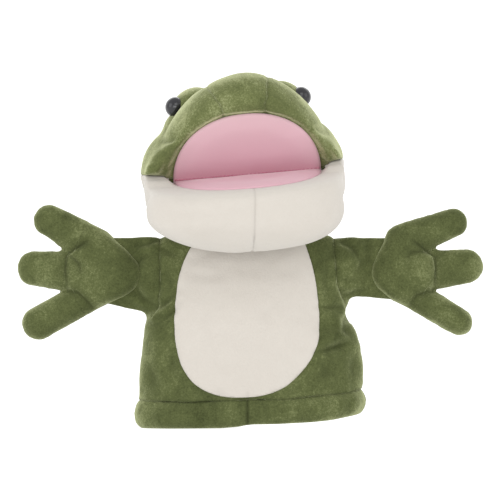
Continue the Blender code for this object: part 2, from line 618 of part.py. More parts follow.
# ---------------------------------------------------------------- joints: an empty on each axis
PARENTS = {
    "neck": (NECK_AT, ["neck_binding"]),
    "lower_jaw": (
        NECK_AT,
        ["chin_panel_left", "chin_panel_right", "nape_panel", "lower_jaw_stuffing", "mouth_lining_lower",
         "mouth_board_lower", "thumb_pocket", "mouth_crease_stitching"],
    ),
    "upper_head": (
        HINGE,
        ["crown_panel", "brow_panel_left", "brow_panel_right", "head_back_panel", "upper_head_stuffing",
         "mouth_lining_upper", "mouth_board_upper", "finger_pocket", "eye_mound_left", "eye_mound_right",
         "eye_left", "eye_right", "eye_washer_left", "eye_washer_right"],
    ),
}
for name, hand in HANDS.items():
    side = hand["side"]
    PARENTS[f"arm_{name}"] = (
        Vector((side * SHOULDER_X, BODY_Y, SHOULDER_Z)), [f"arm_sleeve_{name}", f"arm_stuffing_{name}"]
    )
    PARENTS[f"hand_{name}"] = (
        Vector((side * WRIST_X, BODY_Y, SHOULDER_Z)),
        [f"palm_panel_{name}", f"hand_back_panel_{name}", f"palm_stuffing_{name}"],
    )
    for label, base, *_ in hand["fingers"]:
        PARENTS[f"finger_{label}_{name}_pivot"] = (
            Vector((side * base[0] * MM, BODY_Y, base[1] * MM)),
            [f"finger_{label}_{name}", f"finger_stuffing_{label}_{name}"],
        )

for label, (at, members) in PARENTS.items():
    pivot = body_empty(label + "_axis", at)
    bpy.context.view_layer.update()
    for member in members:
        obj = bpy.data.objects[member]
        world = obj.matrix_world.copy()
        obj.parent = pivot
        obj.matrix_parent_inverse = pivot.matrix_world.inverted()
        obj.matrix_world = world
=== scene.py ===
"""Plush frog hand puppet: the visible model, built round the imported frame.

Every soft form is written as a signed distance in millimetres, meshed on a grid, shaped with
seams, folds and stuffing lumps, and cut along its seams into the panels that it is sewn from.
"""
import json
import math

import bpy
import numpy as np
from mathutils import Matrix, Vector

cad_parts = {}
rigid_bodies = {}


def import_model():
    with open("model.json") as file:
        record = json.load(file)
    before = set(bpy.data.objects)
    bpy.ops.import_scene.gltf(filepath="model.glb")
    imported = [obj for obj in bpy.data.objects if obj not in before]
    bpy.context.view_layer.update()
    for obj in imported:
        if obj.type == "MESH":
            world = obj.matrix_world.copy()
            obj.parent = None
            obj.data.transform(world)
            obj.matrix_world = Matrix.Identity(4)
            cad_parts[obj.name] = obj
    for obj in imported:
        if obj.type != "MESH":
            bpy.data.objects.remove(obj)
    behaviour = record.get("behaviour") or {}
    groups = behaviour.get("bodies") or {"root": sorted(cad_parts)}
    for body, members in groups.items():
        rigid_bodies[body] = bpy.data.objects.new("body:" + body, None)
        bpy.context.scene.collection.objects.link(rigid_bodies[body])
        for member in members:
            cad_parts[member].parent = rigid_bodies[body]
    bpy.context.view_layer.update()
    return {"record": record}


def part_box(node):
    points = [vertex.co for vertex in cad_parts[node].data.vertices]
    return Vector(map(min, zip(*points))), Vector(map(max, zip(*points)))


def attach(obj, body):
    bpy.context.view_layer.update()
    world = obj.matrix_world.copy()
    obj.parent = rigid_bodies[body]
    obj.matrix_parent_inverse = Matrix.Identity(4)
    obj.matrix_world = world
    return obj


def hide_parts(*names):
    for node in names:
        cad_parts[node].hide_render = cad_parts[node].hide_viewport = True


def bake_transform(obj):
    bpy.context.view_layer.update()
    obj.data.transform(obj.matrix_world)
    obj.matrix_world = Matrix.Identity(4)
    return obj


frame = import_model()

RECORD = frame["record"]
JOINT = {j["name"]: j for j in RECORD["behaviour"]["joints"]}


def place(name):
    return np.array(JOINT[name]["pos_m"]) * 1000.0


# ------------------------------------------------------------------ frames

def rx(d):
    c, s = math.cos(math.radians(d)), math.sin(math.radians(d))
    return np.array([[1, 0, 0], [0, c, -s], [0, s, c]])


def ry(d):
    c, s = math.cos(math.radians(d)), math.sin(math.radians(d))
    return np.array([[c, 0, s], [0, 1, 0], [-s, 0, c]])


def rz(d):
    c, s = math.cos(math.radians(d)), math.sin(math.radians(d))
    return np.array([[c, -s, 0], [s, c, 0], [0, 0, 1]])


HINGE = place("mouth")
R_HEAD = rz(3.5) @ ry(-5)
MOUTH_W, MOUTH_L = 56.0, 62.0
PALATE = 49.0          # the palate's angle over the head's level
PLATE = 9.0            # the lower plate's fall to the front
NAPE = 17.0            # the join behind the hinge, below level
CA, SA = math.cos(math.radians(PALATE)), math.sin(math.radians(PALATE))
CJ, SJ = math.cos(math.radians(PLATE)), math.sin(math.radians(PLATE))
CN, SN = math.cos(math.radians(NAPE)), math.sin(math.radians(NAPE))


def to_head(P):
    return (P - HINGE) @ R_HEAD


def from_head(H):
    return H @ R_HEAD.T + HINGE


def palate_vn(H):
    """Forward along the palate, and up from it."""
    return -H[:, 1] * CA + H[:, 2] * SA, H[:, 1] * SA + H[:, 2] * CA


def palate_point(x, v, n):
    return np.stack([x, -v * CA + n * SA, v * SA + n * CA], 1)


def plate_vn(H):
    """Forward along the lower plate, and up from it."""
    return -H[:, 1] * CJ - H[:, 2] * SJ, -H[:, 1] * SJ + H[:, 2] * CJ


def plate_point(x, v, n):
    return np.stack([x, -v * CJ - n * SJ, -v * SJ + n * CJ], 1)


# ------------------------------------------------------------------ fields

def smin(a, b, k):
    h = np.clip(0.5 + 0.5 * (b - a) / k, 0, 1)
    return b + (a - b) * h - k * h * (1 - h)


def smax(a, b, k):
    return -smin(-a, -b, k)


def step(x, a, b):
    t = np.clip((x - a) / (b - a), 0, 1)
    return t * t * (3 - 2 * t)


def superell(x, y, z, lo, hi, p, q):
    """Distance from a superellipsoid about the origin, with its own radius each way."""
    ax = np.abs(x) / np.where(x < 0, lo[0], hi[0])
    ay = np.abs(y) / np.where(y < 0, lo[1], hi[1])
    az = np.abs(z) / np.where(z < 0, lo[2], hi[2])
    r = (ax ** p + ay ** p) ** (1 / p)
    g = np.maximum((r ** q + az ** q) ** (1 / q), 0.02)
    return np.sqrt(x * x + y * y + z * z) * (1 - 1 / g)


_lattice = np.random.RandomState(11).rand(32, 32, 32) * 2 - 1


def noise(P, size, seed=0):
    """Smooth noise from -1 to 1 with lumps of about size millimetres."""
    Q = P / size + np.array([7.3, 3.1, 5.7]) * (seed + 1)
    i = np.floor(Q).astype(int)
    f = Q - i
    f = f * f * (3 - 2 * f)
    out = 0
    for a in (0, 1):
        for b in (0, 1):
            for c in (0, 1):
                w = (f[:, 0] if a else 1 - f[:, 0]) * (f[:, 1] if b else 1 - f[:, 1]) * (f[:, 2] if c else 1 - f[:, 2])
                out = out + w * _lattice[(i[:, 0] + a) % 32, (i[:, 1] + b) % 32, (i[:, 2] + c) % 32]
    return out


def line_distance(x, z, points):
    """Distance in a plane from a chain of points, and how far along it from 0 to 1."""
    best = np.full(len(x), 1e9)
    along = np.zeros(len(x))
    total, runs = 0.0, []
    for (x0, z0), (x1, z1) in zip(points[:-1], points[1:]):
        runs.append((total, math.hypot(x1 - x0, z1 - z0)))
        total += runs[-1][1]
    for ((x0, z0), (x1, z1)), (start, length) in zip(zip(points[:-1], points[1:]), runs):
        dx, dz = x1 - x0, z1 - z0
        t = np.clip(((x - x0) * dx + (z - z0) * dz) / (length * length), 0, 1)
        d = np.hypot(x - x0 - t * dx, z - z0 - t * dz)
        better = d < best
        best = np.where(better, d, best)
        along = np.where(better, (start + t * length) / total, along)
    return best, along


# ------------------------------------------------------------------ meshing

def surface_nets(fn, lo, hi, h):
    """(points, quads) of the surface fn = 0, solid where fn < 0."""
    lo, hi = np.array(lo, float), np.array(hi, float)
    n = np.ceil((hi - lo) / h).astype(int) + 1
    axes = [lo[k] + h * np.arange(n[k]) for k in range(3)]
    F = np.empty(n)
    for i in range(n[0]):
        Y, Z = np.meshgrid(axes[1], axes[2], indexing="ij")
        P = np.stack([np.full(Y.size, axes[0][i]), Y.ravel(), Z.ravel()], 1)
        F[i] = fn(P).reshape(n[1], n[2])
    F[F == 0] = 1e-6
    S = F < 0
    cell = n - 1
    acc = np.zeros((*cell, 3))
    cnt = np.zeros(cell)
    crossings = []
    for ax in range(3):
        a = [slice(None)] * 3
        b = [slice(None)] * 3
        a[ax], b[ax] = slice(0, n[ax] - 1), slice(1, n[ax])
        A, B = F[tuple(a)], F[tuple(b)]
        idx = np.argwhere(S[tuple(a)] != S[tuple(b)])
        va, vb = A[tuple(idx.T)], B[tuple(idx.T)]
        pos = idx.astype(float)
        pos[:, ax] += va / (va - vb)
        o1, o2 = [k for k in range(3) if k != ax]
        for d1 in (0, -1):
            for d2 in (0, -1):
                c = idx.copy()
                c[:, o1] += d1
                c[:, o2] += d2
                ok = (c[:, o1] >= 0) & (c[:, o2] >= 0) & (c[:, o1] < cell[o1]) & (c[:, o2] < cell[o2])
                np.add.at(acc, tuple(c[ok].T), pos[ok])
                np.add.at(cnt, tuple(c[ok].T), 1)
        crossings.append((ax, idx, va < 0))
    used = cnt > 0
    number = np.full(cell, -1)
    number[used] = np.arange(int(used.sum()))
    verts = acc[used] / cnt[used][:, None] * h + lo
    quads = []
    for ax, idx, inside_first in crossings:
        o1, o2 = (ax + 1) % 3, (ax + 2) % 3
        ok = (idx[:, o1] > 0) & (idx[:, o2] > 0) & (idx[:, o1] < cell[o1]) & (idx[:, o2] < cell[o2])
        idx, first = idx[ok], inside_first[ok]
        ring = []
        for d1, d2 in ((0, 0), (-1, 0), (-1, -1), (0, -1)):
            c = idx.copy()
            c[:, o1] += d1
            c[:, o2] += d2
            ring.append(number[tuple(c.T)])
        q = np.stack(ring, 1)
        q[~first] = q[~first][:, ::-1]
        quads.append(q)
    return verts, np.concatenate(quads)


def gradient(fn, P, e=0.25):
    g = np.empty_like(P)
    for k in range(3):
        d = np.zeros(3)
        d[k] = e
        g[:, k] = (fn(P + d) - fn(P - d)) / (2 * e)
    return g


def neighbours(n, faces):
    pairs = []
    arr = np.asarray(faces)
    m = arr.shape[1]
    for k in range(m):
        pairs.append(arr[:, [k, (k + 1) % m]])
    e = np.concatenate(pairs)
    e = np.unique(np.sort(e, axis=1), axis=0)
    return e


def relax(V, edges, rounds, amount=0.5, keep=None):
    deg = np.bincount(edges.ravel(), minlength=len(V)).astype(float)
    for _ in range(rounds):
        S = np.zeros_like(V)
        for k in range(3):
            S[:, k] = np.bincount(edges[:, 0], V[edges[:, 1], k], len(V)) + np.bincount(edges[:, 1], V[edges[:, 0], k], len(V))
        T = S / np.maximum(deg, 1)[:, None]
        move = (T - V) * amount
        if keep is not None:
            move *= keep[:, None]
        V = V + move
    return V


def formed(fn, lo, hi, h, rounds=3):
    """A smooth even mesh of fn = 0."""
    V, Q = surface_nets(fn, lo, hi, h)
    edges = neighbours(len(V), Q)
    for _ in range(rounds):
        V = relax(V, edges, 1, 0.6)
        g = gradient(fn, V)
        V = V - g * (fn(V) / np.maximum((g * g).sum(1), 0.1))[:, None].clip(-2, 2)
    return V, Q, edges


def normals(V, F):
    N = np.zeros_like(V)
    F = np.asarray(F)
    if F.shape[1] == 4:
        fn_ = np.cross(V[F[:, 2]] - V[F[:, 0]], V[F[:, 3]] - V[F[:, 1]])
    else:
        fn_ = np.cross(V[F[:, 1]] - V[F[:, 0]], V[F[:, 2]] - V[F[:, 0]])
    for k in range(3):
        for c in range(F.shape[1]):
            N[:, k] += np.bincount(F[:, c], fn_[:, k], len(V))
    return N / np.maximum(np.linalg.norm(N, axis=1), 1e-9)[:, None]


class Cloth:
    """Polygons that can be cut along seams. base keeps each point's place before shaping."""

    def __init__(self, V, faces, base=None):
        self.V = V
        self.base = V.copy() if base is None else base
        self.faces = [tuple(int(i) for i in f) for f in faces]

    def split(self, f, snap=0.18):
        """(part where f < 0, part where f > 0) along f = 0, a value for each point."""
        f = f.copy()
        # a point close to the seam is moved onto it, so that no slivers are left
        V, base = self.V.copy(), self.base.copy()
        arr = self.faces
        edge = {}
        near = {}
        for face in arr:
            m = len(face)
            for k in range(m):
                a, b = face[k], face[(k + 1) % m]
                if (f[a] < 0) != (f[b] < 0):
                    t = f[a] / (f[a] - f[b])
                    if t < snap:
                        if t < near.get(a, (9,))[0]:
                            near[a] = (t, b)
                    elif t > 1 - snap:
                        if 1 - t < near.get(b, (9,))[0]:
                            near[b] = (1 - t, a)
        for a, (t, b) in near.items():
            V[a] = self.V[a] + (self.V[b] - self.V[a]) * t
            base[a] = self.base[a] + (self.base[b] - self.base[a]) * t
            f[a] = 0.0
        newV, newB = [], []
        count = len(V)
        low, high = [], []
        for face in arr:
            vals = [f[i] for i in face]
            if max(vals) <= 0:
                low.append(face)
                continue
            if min(vals) >= 0:
                high.append(face)
                continue
            L, Hh = [], []
            m = len(face)
            for k in range(m):
                a, b = face[k], face[(k + 1) % m]
                fa, fb = f[a], f[b]
                if fa <= 0:
                    L.append(a)
                if fa >= 0:
                    Hh.append(a)
                if fa * fb < 0:
                    key = (a, b) if a < b else (b, a)
                    if key not in edge:
                        i, j = key
                        t = f[i] / (f[i] - f[j])
                        newV.append(V[i] + (V[j] - V[i]) * t)
                        newB.append(base[i] + (base[j] - base[i]) * t)
                        edge[key] = count
                        count += 1
                    L.append(edge[key])
                    Hh.append(edge[key])
            if len(L) > 2:
                low.append(tuple(L))
            if len(Hh) > 2:
                high.append(tuple(Hh))
        if newV:
            V = np.concatenate([V, np.array(newV)])
            base = np.concatenate([base, np.array(newB)])
        return Cloth(V, low, base).tidy(), Cloth(V, high, base).tidy()

    def tidy(self):
        used = np.zeros(len(self.V), bool)
        for face in self.faces:
            used[list(face)] = True
        number = np.cumsum(used) - 1
        self.faces = [tuple(int(number[i]) for i in face) for face in self.faces]
        self.V, self.base = self.V[used], self.base[used]
        return self

    def below(self, fn):
        return self.split(fn(self.base))[0] if len(self.V) else self

    def above(self, fn):
        return self.split(fn(self.base))[1] if len(self.V) else self

    def thick(self, t):
        """Closed, with an inner side t millimetres in."""
        n = len(self.V)
        N = np.zeros_like(self.V)
        for face in self.faces:
            a, b, c = self.V[face[0]], self.V[face[1]], self.V[face[2]]
            if len(face) > 3:
                d = self.V[face[3]]
                w = np.cross(c - a, d - b)
            else:
                w = np.cross(b - a, c - a)
            for i in face:
                N[i] += w
        N /= np.maximum(np.linalg.norm(N, axis=1), 1e-9)[:, None]
        uses = {}
        for face in self.faces:
            m = len(face)
            for k in range(m):
                uses[(face[k], face[(k + 1) % m])] = True
        rim = [(a, b) for (a, b) in uses if (b, a) not in uses]
        faces = list(self.faces)
        faces += [tuple(i + n for i in reversed(face)) for face in self.faces]
        faces += [(b, a, a + n, b + n) for a, b in rim]
        inner = self.V - N * t
        return Cloth(np.concatenate([self.V, inner]), faces, np.concatenate([self.base, self.base]))


def join(*cloths):
    V, B, F, n = [], [], [], 0
    for c in cloths:
        V.append(c.V)
        B.append(c.base)
        F += [tuple(i + n for i in face) for face in c.faces]
        n += len(c.V)
    return Cloth(np.concatenate(V), F, np.concatenate(B))


def piece(name, cloth, material, stands_for, thick=None, smooth=True, shade=None):
    """A Blender object of a cloth, in metres. shade is how deep in a seam or fold each point is, 0 to 1; kept as the
    seam attribute, it darkens the velour: the seams' dark lines and painted shade in folds.
    """
    if thick:
        cloth = cloth.thick(thick)
    mesh = bpy.data.meshes.new(name)
    mesh.from_pydata([tuple(v) for v in (cloth.V / 1000.0)], [], cloth.faces)
    mesh.validate()
    if smooth:
        mesh.polygons.foreach_set("use_smooth", [True] * len(mesh.polygons))
    mesh.update()
    if shade is not None:
        # painted shade together with the seams' dark lines, for the velour to darken its colour
        attr = mesh.attributes.new("seam", "FLOAT", "POINT")
        attr.data.foreach_set("value", np.clip(shade(cloth.base), 0, 1).astype(np.float32))
    obj = bpy.data.objects.new(name, mesh)
    bpy.context.collection.objects.link(obj)
    obj.data.materials.append(material)
    if stands_for:
        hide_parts(*stands_for)
    return obj


# ------------------------------------------------------------------ materials

def nodes(name):
    mat = bpy.data.materials.new(name)
    mat.use_nodes = True
    tree = mat.node_tree
    tree.nodes.clear()
    return mat, tree


def add(tree, kind, at=(0, 0), **inputs):
    node = tree.nodes.new(kind)
    node.location = at
    for key, value in inputs.items():
        if hasattr(node, key):
            setattr(node, key, value)
    return node


def velour(name, dark, mid, light, pile=1.0, mottle=1.0, sheen=0.5, seam_and_shade_dark=0.6):
    """Short pile velour: shade by the way the pile lies, fine speckle, a painted sheen that is lighter where it is
    seen edge on, and darkening from the seam attribute: the seams' dark lines with painted shade in folds and creases.
    """
    mat, tree = nodes(name)
    L = tree.links.new
    out = add(tree, "ShaderNodeOutputMaterial", (900, 0))
    bsdf = add(tree, "ShaderNodeBsdfPrincipled", (600, 0))
    L(bsdf.outputs[0], out.inputs[0])
    co = add(tree, "ShaderNodeTexCoord", (-1400, 0))

    def tex(scale, detail, rough=0.5, distort=0.0, y=0):
        n = add(tree, "ShaderNodeTexNoise", (-1100, y))
        n.inputs["Scale"].default_value = scale
        n.inputs["Detail"].default_value = detail
        n.inputs["Roughness"].default_value = rough
        n.inputs["Distortion"].default_value = distort
        L(co.outputs["Object"], n.inputs["Vector"])
        return n

    big = tex(26, 3, 0.55, 0.9, 300)        # areas where the pile lies the other way
    patch = tex(95, 3, 0.6, 0.8, 100)       # crushed spots
    fleck = tex(640, 2, 0.6, 0.0, -100)     # tufts
    fibre = tex(1500, 2, 0.6, 0.0, -300)    # fibres

    def ramp(src, lo, hi, a, b, y):
        m = add(tree, "ShaderNodeMapRange", (-850, y))
        m.inputs["From Min"].default_value = lo
        m.inputs["From Max"].default_value = hi
        m.inputs["To Min"].default_value = a
        m.inputs["To Max"].default_value = b
        L(src, m.inputs["Value"])
        return m.outputs[0]

    def math_(op, a, b, y, x=-600):
        m = add(tree, "ShaderNodeMath", (x, y))
        m.operation = op
        for k, v in ((0, a), (1, b)):
            if isinstance(v, (int, float)):
                m.inputs[k].default_value = v
            else:
                L(v, m.inputs[k])
        return m.outputs[0]

    s = math_("ADD", ramp(big.outputs[0], 0.3, 0.7, -0.15 * mottle, 0.15 * mottle, 300),
              ramp(patch.outputs[0], 0.32, 0.68, -0.06 * mottle, 0.06 * mottle, 100), 200)
    s = math_("ADD", s, ramp(fleck.outputs[0], 0.3, 0.7, -0.10 * mottle, 0.10 * mottle, -100), 100, -450)
    s = math_("ADD", s, ramp(fibre.outputs[0], 0.3, 0.7, -0.10 * mottle, 0.10 * mottle, -300), 0, -300)
    # painted sheen: the colour is made lighter where the surface is seen edge on
    face = add(tree, "ShaderNodeLayerWeight", (-850, -500))
    face.inputs["Blend"].default_value = 0.35
    s = math_("ADD", s, ramp(face.outputs["Facing"], 0.15, 0.85, -0.05, 0.42, -500), -100, -150)
    s = math_("ADD", s, 0.42, -150, 0)
    mix = add(tree, "ShaderNodeValToRGB", (150, 100))
    el = mix.color_ramp.elements
    el[0].position, el[0].color = 0.0, (*dark, 1)
    el[1].position, el[1].color = 1.0, (*light, 1)
    e = el.new(0.45)
    e.color = (*mid, 1)
    L(s, mix.inputs[0])
    # the seam attribute darkens the colour: the seams' dark lines, and painted shade in folds, creases and recesses
    seam = add(tree, "ShaderNodeAttribute", (-200, 400))
    seam.attribute_name = "seam"
    wobble = math_("MULTIPLY", fleck.outputs[0], 0.9, 500, 0)
    wobble = math_("ADD", wobble, 0.55, 500, 100)
    deep = math_("MULTIPLY", seam.outputs["Fac"], wobble, 450, 150)
    deep = math_("MULTIPLY", deep, seam_and_shade_dark, 400, 200)
    seam_and_shade_mix = add(tree, "ShaderNodeMix", (400, 200))
    seam_and_shade_mix.data_type = "RGBA"
    seam_and_shade_mix.inputs["B"].default_value = (*[c * 0.35 for c in dark], 1)
    L(deep, seam_and_shade_mix.inputs["Factor"])
    L(mix.outputs[0], seam_and_shade_mix.inputs["A"])
    L(seam_and_shade_mix.outputs["Result"], bsdf.inputs["Base Color"])
    bsdf.inputs["Roughness"].default_value = 0.92
    bsdf.inputs["Specular IOR Level"].default_value = 0.12
    bsdf.inputs["Sheen Weight"].default_value = sheen
    bsdf.inputs["Sheen Roughness"].default_value = 0.42
    bsdf.inputs["Sheen Tint"].default_value = (*[min(1, 1.2 * c ** 0.6) for c in light], 1)
    h = math_("ADD", math_("MULTIPLY", fleck.outputs[0], 0.7, -700), math_("MULTIPLY", fibre.outputs[0], 0.35, -800), -750, -450)
    h = math_("ADD", h, math_("MULTIPLY", patch.outputs[0], 0.55, -900), -850, -300)
    bump = add(tree, "ShaderNodeBump", (300, -500))
    bump.inputs["Strength"].default_value = 0.55 * pile
    bump.inputs["Distance"].default_value = 0.0011
    L(h, bump.inputs["Height"])
    L(bump.outputs[0], bsdf.inputs["Normal"])
    return mat


def satin(name, deep, mid, pale):
    """Smooth pink lining, with painted shade that makes it deeper in colour towards the crease, which the crease's
    distance gives.
    """
    mat, tree = nodes(name)
    L = tree.links.new
    out = add(tree, "ShaderNodeOutputMaterial", (900, 0))
    bsdf = add(tree, "ShaderNodeBsdfPrincipled", (600, 0))
    L(bsdf.outputs[0], out.inputs[0])
    at = add(tree, "ShaderNodeAttribute", (-1000, 200))
    at.attribute_name = "from_crease"
    ramp = add(tree, "ShaderNodeValToRGB", (-400, 200))
    el = ramp.color_ramp.elements
    el[0].position, el[0].color = 0.0, (*deep, 1)
    el[1].position, el[1].color = 1.0, (*pale, 1)
    e = el.new(0.22)
    e.color = (*mid, 1)
    co = add(tree, "ShaderNodeTexCoord", (-1400, -100))
    cloud = add(tree, "ShaderNodeTexNoise", (-1000, -50))
    cloud.inputs["Scale"].default_value = 40
    cloud.inputs["Detail"].default_value = 3
    L(co.outputs["Object"], cloud.inputs["Vector"])
    shift = add(tree, "ShaderNodeMath", (-700, 100))
    shift.operation = "MULTIPLY_ADD"
    shift.inputs[1].default_value = 0.16
    shift.inputs[2].default_value = -0.08
    L(cloud.outputs[0], shift.inputs[0])
    plus = add(tree, "ShaderNodeMath", (-550, 200))
    plus.operation = "ADD"
    L(at.outputs["Fac"], plus.inputs[0])
    L(shift.outputs[0], plus.inputs[1])
    L(plus.outputs[0], ramp.inputs[0])
    L(ramp.outputs[0], bsdf.inputs["Base Color"])
    bsdf.inputs["Roughness"].default_value = 0.62
    bsdf.inputs["Sheen Weight"].default_value = 0.35
    bsdf.inputs["Sheen Roughness"].default_value = 0.35
    bsdf.inputs["Specular IOR Level"].default_value = 0.3
    weave = add(tree, "ShaderNodeTexNoise", (-400, -350))
    weave.inputs["Scale"].default_value = 1600
    weave.inputs["Detail"].default_value = 1
    L(co.outputs["Object"], weave.inputs["Vector"])
    soft = add(tree, "ShaderNodeTexNoise", (-400, -550))
    soft.inputs["Scale"].default_value = 70
    soft.inputs["Detail"].default_value = 2
    L(co.outputs["Object"], soft.inputs["Vector"])
    m = add(tree, "ShaderNodeMath", (-150, -450))
    m.operation = "MULTIPLY_ADD"
    m.inputs[1].default_value = 0.12
    L(weave.outputs[0], m.inputs[0])
    L(soft.outputs[0], m.inputs[2])
    bump = add(tree, "ShaderNodeBump", (300, -400))
    bump.inputs["Strength"].default_value = 0.22
    bump.inputs["Distance"].default_value = 0.0012
    L(m.outputs[0], bump.inputs["Height"])
    L(bump.outputs[0], bsdf.inputs["Normal"])
    return mat


def plain_weave(name, dark, light):
    mat, tree = nodes(name)
    L = tree.links.new
    out = add(tree, "ShaderNodeOutputMaterial", (900, 0))
    bsdf = add(tree, "ShaderNodeBsdfPrincipled", (600, 0))
    L(bsdf.outputs[0], out.inputs[0])
    co = add(tree, "ShaderNodeTexCoord", (-1400, 0))
    waves = []
    for k, turn in enumerate(((0, 0, 0), (0, 1.5708, 0))):
        mp = add(tree, "ShaderNodeMapping", (-1150, -200 * k))
        mp.inputs["Rotation"].default_value = turn
        L(co.outputs["Object"], mp.inputs["Vector"])
        w = add(tree, "ShaderNodeTexWave", (-900, -200 * k))
        w.inputs["Scale"].default_value = 260
        w.inputs["Distortion"].default_value = 1.2
        w.inputs["Detail"].default_value = 1
        L(mp.outputs[0], w.inputs["Vector"])
        waves.append(w)
    m = add(tree, "ShaderNodeMath", (-600, 0))
    m.operation = "MULTIPLY"
    L(waves[0].outputs["Fac"], m.inputs[0])
    L(waves[1].outputs["Fac"], m.inputs[1])
    ramp = add(tree, "ShaderNodeValToRGB", (-300, 0))
    ramp.color_ramp.elements[0].color = (*dark, 1)
    ramp.color_ramp.elements[1].color = (*light, 1)
    L(m.outputs[0], ramp.inputs[0])
    L(ramp.outputs[0], bsdf.inputs["Base Color"])
    bsdf.inputs["Roughness"].default_value = 0.85
    bump = add(tree, "ShaderNodeBump", (300, -300))
    bump.inputs["Strength"].default_value = 0.4
    bump.inputs["Distance"].default_value = 0.0004
    L(m.outputs[0], bump.inputs["Height"])
    L(bump.outputs[0], bsdf.inputs["Normal"])
    return mat


def bead(name):
    """Polished black plastic, its colour and roughness varied a little by a fine haze."""
    mat, tree = nodes(name)
    L = tree.links.new
    out = add(tree, "ShaderNodeOutputMaterial", (900, 0))
    bsdf = add(tree, "ShaderNodeBsdfPrincipled", (600, 0))
    L(bsdf.outputs[0], out.inputs[0])
    co = add(tree, "ShaderNodeTexCoord", (-900, 0))
    haze = add(tree, "ShaderNodeTexNoise", (-600, 0))
    haze.inputs["Scale"].default_value = 240
    haze.inputs["Detail"].default_value = 3
    L(co.outputs["Object"], haze.inputs["Vector"])
    ramp = add(tree, "ShaderNodeValToRGB", (-300, 0))
    ramp.color_ramp.elements[0].color = (0.008, 0.008, 0.010, 1)
    ramp.color_ramp.elements[1].color = (0.018, 0.018, 0.022, 1)
    L(haze.outputs[0], ramp.inputs[0])
    L(ramp.outputs[0], bsdf.inputs["Base Color"])
    rr = add(tree, "ShaderNodeMapRange", (-300, -250))
    rr.inputs["To Min"].default_value = 0.13
    rr.inputs["To Max"].default_value = 0.26
    L(haze.outputs[0], rr.inputs["Value"])
    L(rr.outputs[0], bsdf.inputs["Roughness"])
    bsdf.inputs["Specular IOR Level"].default_value = 0.4
    bsdf.inputs["Coat Weight"].default_value = 0.25
    bsdf.inputs["Coat Roughness"].default_value = 0.12
    return mat


GREEN = velour("green_velour", (0.040, 0.050, 0.015), (0.122, 0.139, 0.052), (0.46, 0.485, 0.26))
# painted shade: a darker copy of the same green velour, for the body, sleeves, hands, hem and neck
GREEN_SHADED = velour("green_velour_shaded", (0.027, 0.034, 0.010), (0.085, 0.099, 0.036), (0.29, 0.315, 0.150))
CREAM = velour("cream_velour", (0.43, 0.395, 0.35), (0.52, 0.488, 0.443), (0.605, 0.58, 0.54), pile=0.5, mottle=0.22, sheen=0.12, seam_and_shade_dark=0.22)
PINK = satin("pink_satin", (0.57, 0.30, 0.36), (0.60, 0.365, 0.42), (0.61, 0.405, 0.44))
INNER = plain_weave("inner_weave", (0.16, 0.15, 0.13), (0.34, 0.33, 0.30))
BLACK = bead("black_bead")

# ------------------------------------------------------------------ the head

EYES = [
    (1, np.array([30.0, 15.0, 50.5]), np.array([19.0, 21.0, 19.0])),
    (-1, np.array([-32.6, 15.0, 51.3]), np.array([19.0, 21.0, 19.0])),
]


def seam_gap(x, v):
    """How far outside the mouth plates' D outline a point is, along the plate."""
    g = (np.abs(x / MOUTH_W) ** 2.15 + np.abs(v / MOUTH_L) ** 2.15) ** (1 / 2.15)
    r = np.hypot(x, v) / np.maximum(g, 1e-6)
    return (g - 1) * r


def muzzle(H):
    v, n = palate_vn(H)
    return superell(H[:, 0] - 1.0, v - 1.0, n - 13.0, (67.0, 30, 46), (63.5, 81.5, 42.0), 1.85, 2.05)


def skull(H):
    v, n = palate_vn(H)
    x = H[:, 0]
    d = superell(x, v + 5, n - 17, (78.4, 52, 34), (72.0, 48, 38.5), 2.3, 2.1)
    # fuller under the puppet's right eye
    full = superell(x + 44.5, H[:, 1] - 12, H[:, 2] - 37.5, (15.5, 18, 16), (15.5, 18, 16), 2.0, 2.0)
    d = smin(d, full, 5)
    # the cheeks fill out to the jaw on each side
    left = superell(x - 58.5, H[:, 1] - 7, H[:, 2] - 6, (12.6, 14, 16), (12.6, 26, 17), 2.1, 2.1)
    right = superell(x + 64.0, H[:, 1] - 7, H[:, 2] - 6, (12.8, 14, 16), (12.8, 26, 17), 2.1, 2.1)
    return smin(d, np.minimum(left, right), 5)


def mounds(H):
    d = None
    for side, c, r in EYES:
        e = superell(H[:, 0] - c[0], H[:, 1] - c[1], H[:, 2] - c[2], r, r, 2, 2)
        d = e if d is None else np.minimum(d, e)
    return d


def jaw(H):
    a = superell(H[:, 0], H[:, 1] + 6, H[:, 2] + 8, (78.6, 73, 30), (72.6, 52, 46), 2.25, 2.9)
    q = 2.45 + 0.5 * np.tanh(H[:, 0] / 22)
    b = superell(H[:, 0] + 2, H[:, 1] + 37, H[:, 2] + 21, (78.5, 42, 36.0), (71.0, 19, 34), 2.3, q)
    return smin(a, b, 6)


def head_all(H):
    back = smin(skull(H), jaw(H), 9)
    upper = smin(back, mounds(H), 3.0)
    return smin(upper, muzzle(H), 1.8)


def lower_only(H):
    return smin(skull(H), jaw(H), 9)


def passage(P):
    """The way in for the hand: up through the neck, on behind the upper plate, and a branch for the thumb."""
    H = to_head(P)
    neck = superell(P[:, 0], P[:, 1] - 23, P[:, 2] - 150, (41.5, 18.2, 60), (41.5, 18.2, 42), 2.3, 4)
    v, n = palate_vn(H)
    up = superell(H[:, 0], v - 18, n - 13, (27, 30, 8), (27, 34, 8), 3, 3)
    vj, nj = plate_vn(H)
    down = superell(H[:, 0], vj - 14, nj + 15, (16, 30, 8.5), (16, 34, 8.5), 3, 3)
    return smin(smin(neck, up, 5), down, 5)


def back_join(H):
    """Height over the plane where the upper head and the lower jaw meet behind the hinge."""
    return H[:, 1] * SN + H[:, 2] * CN


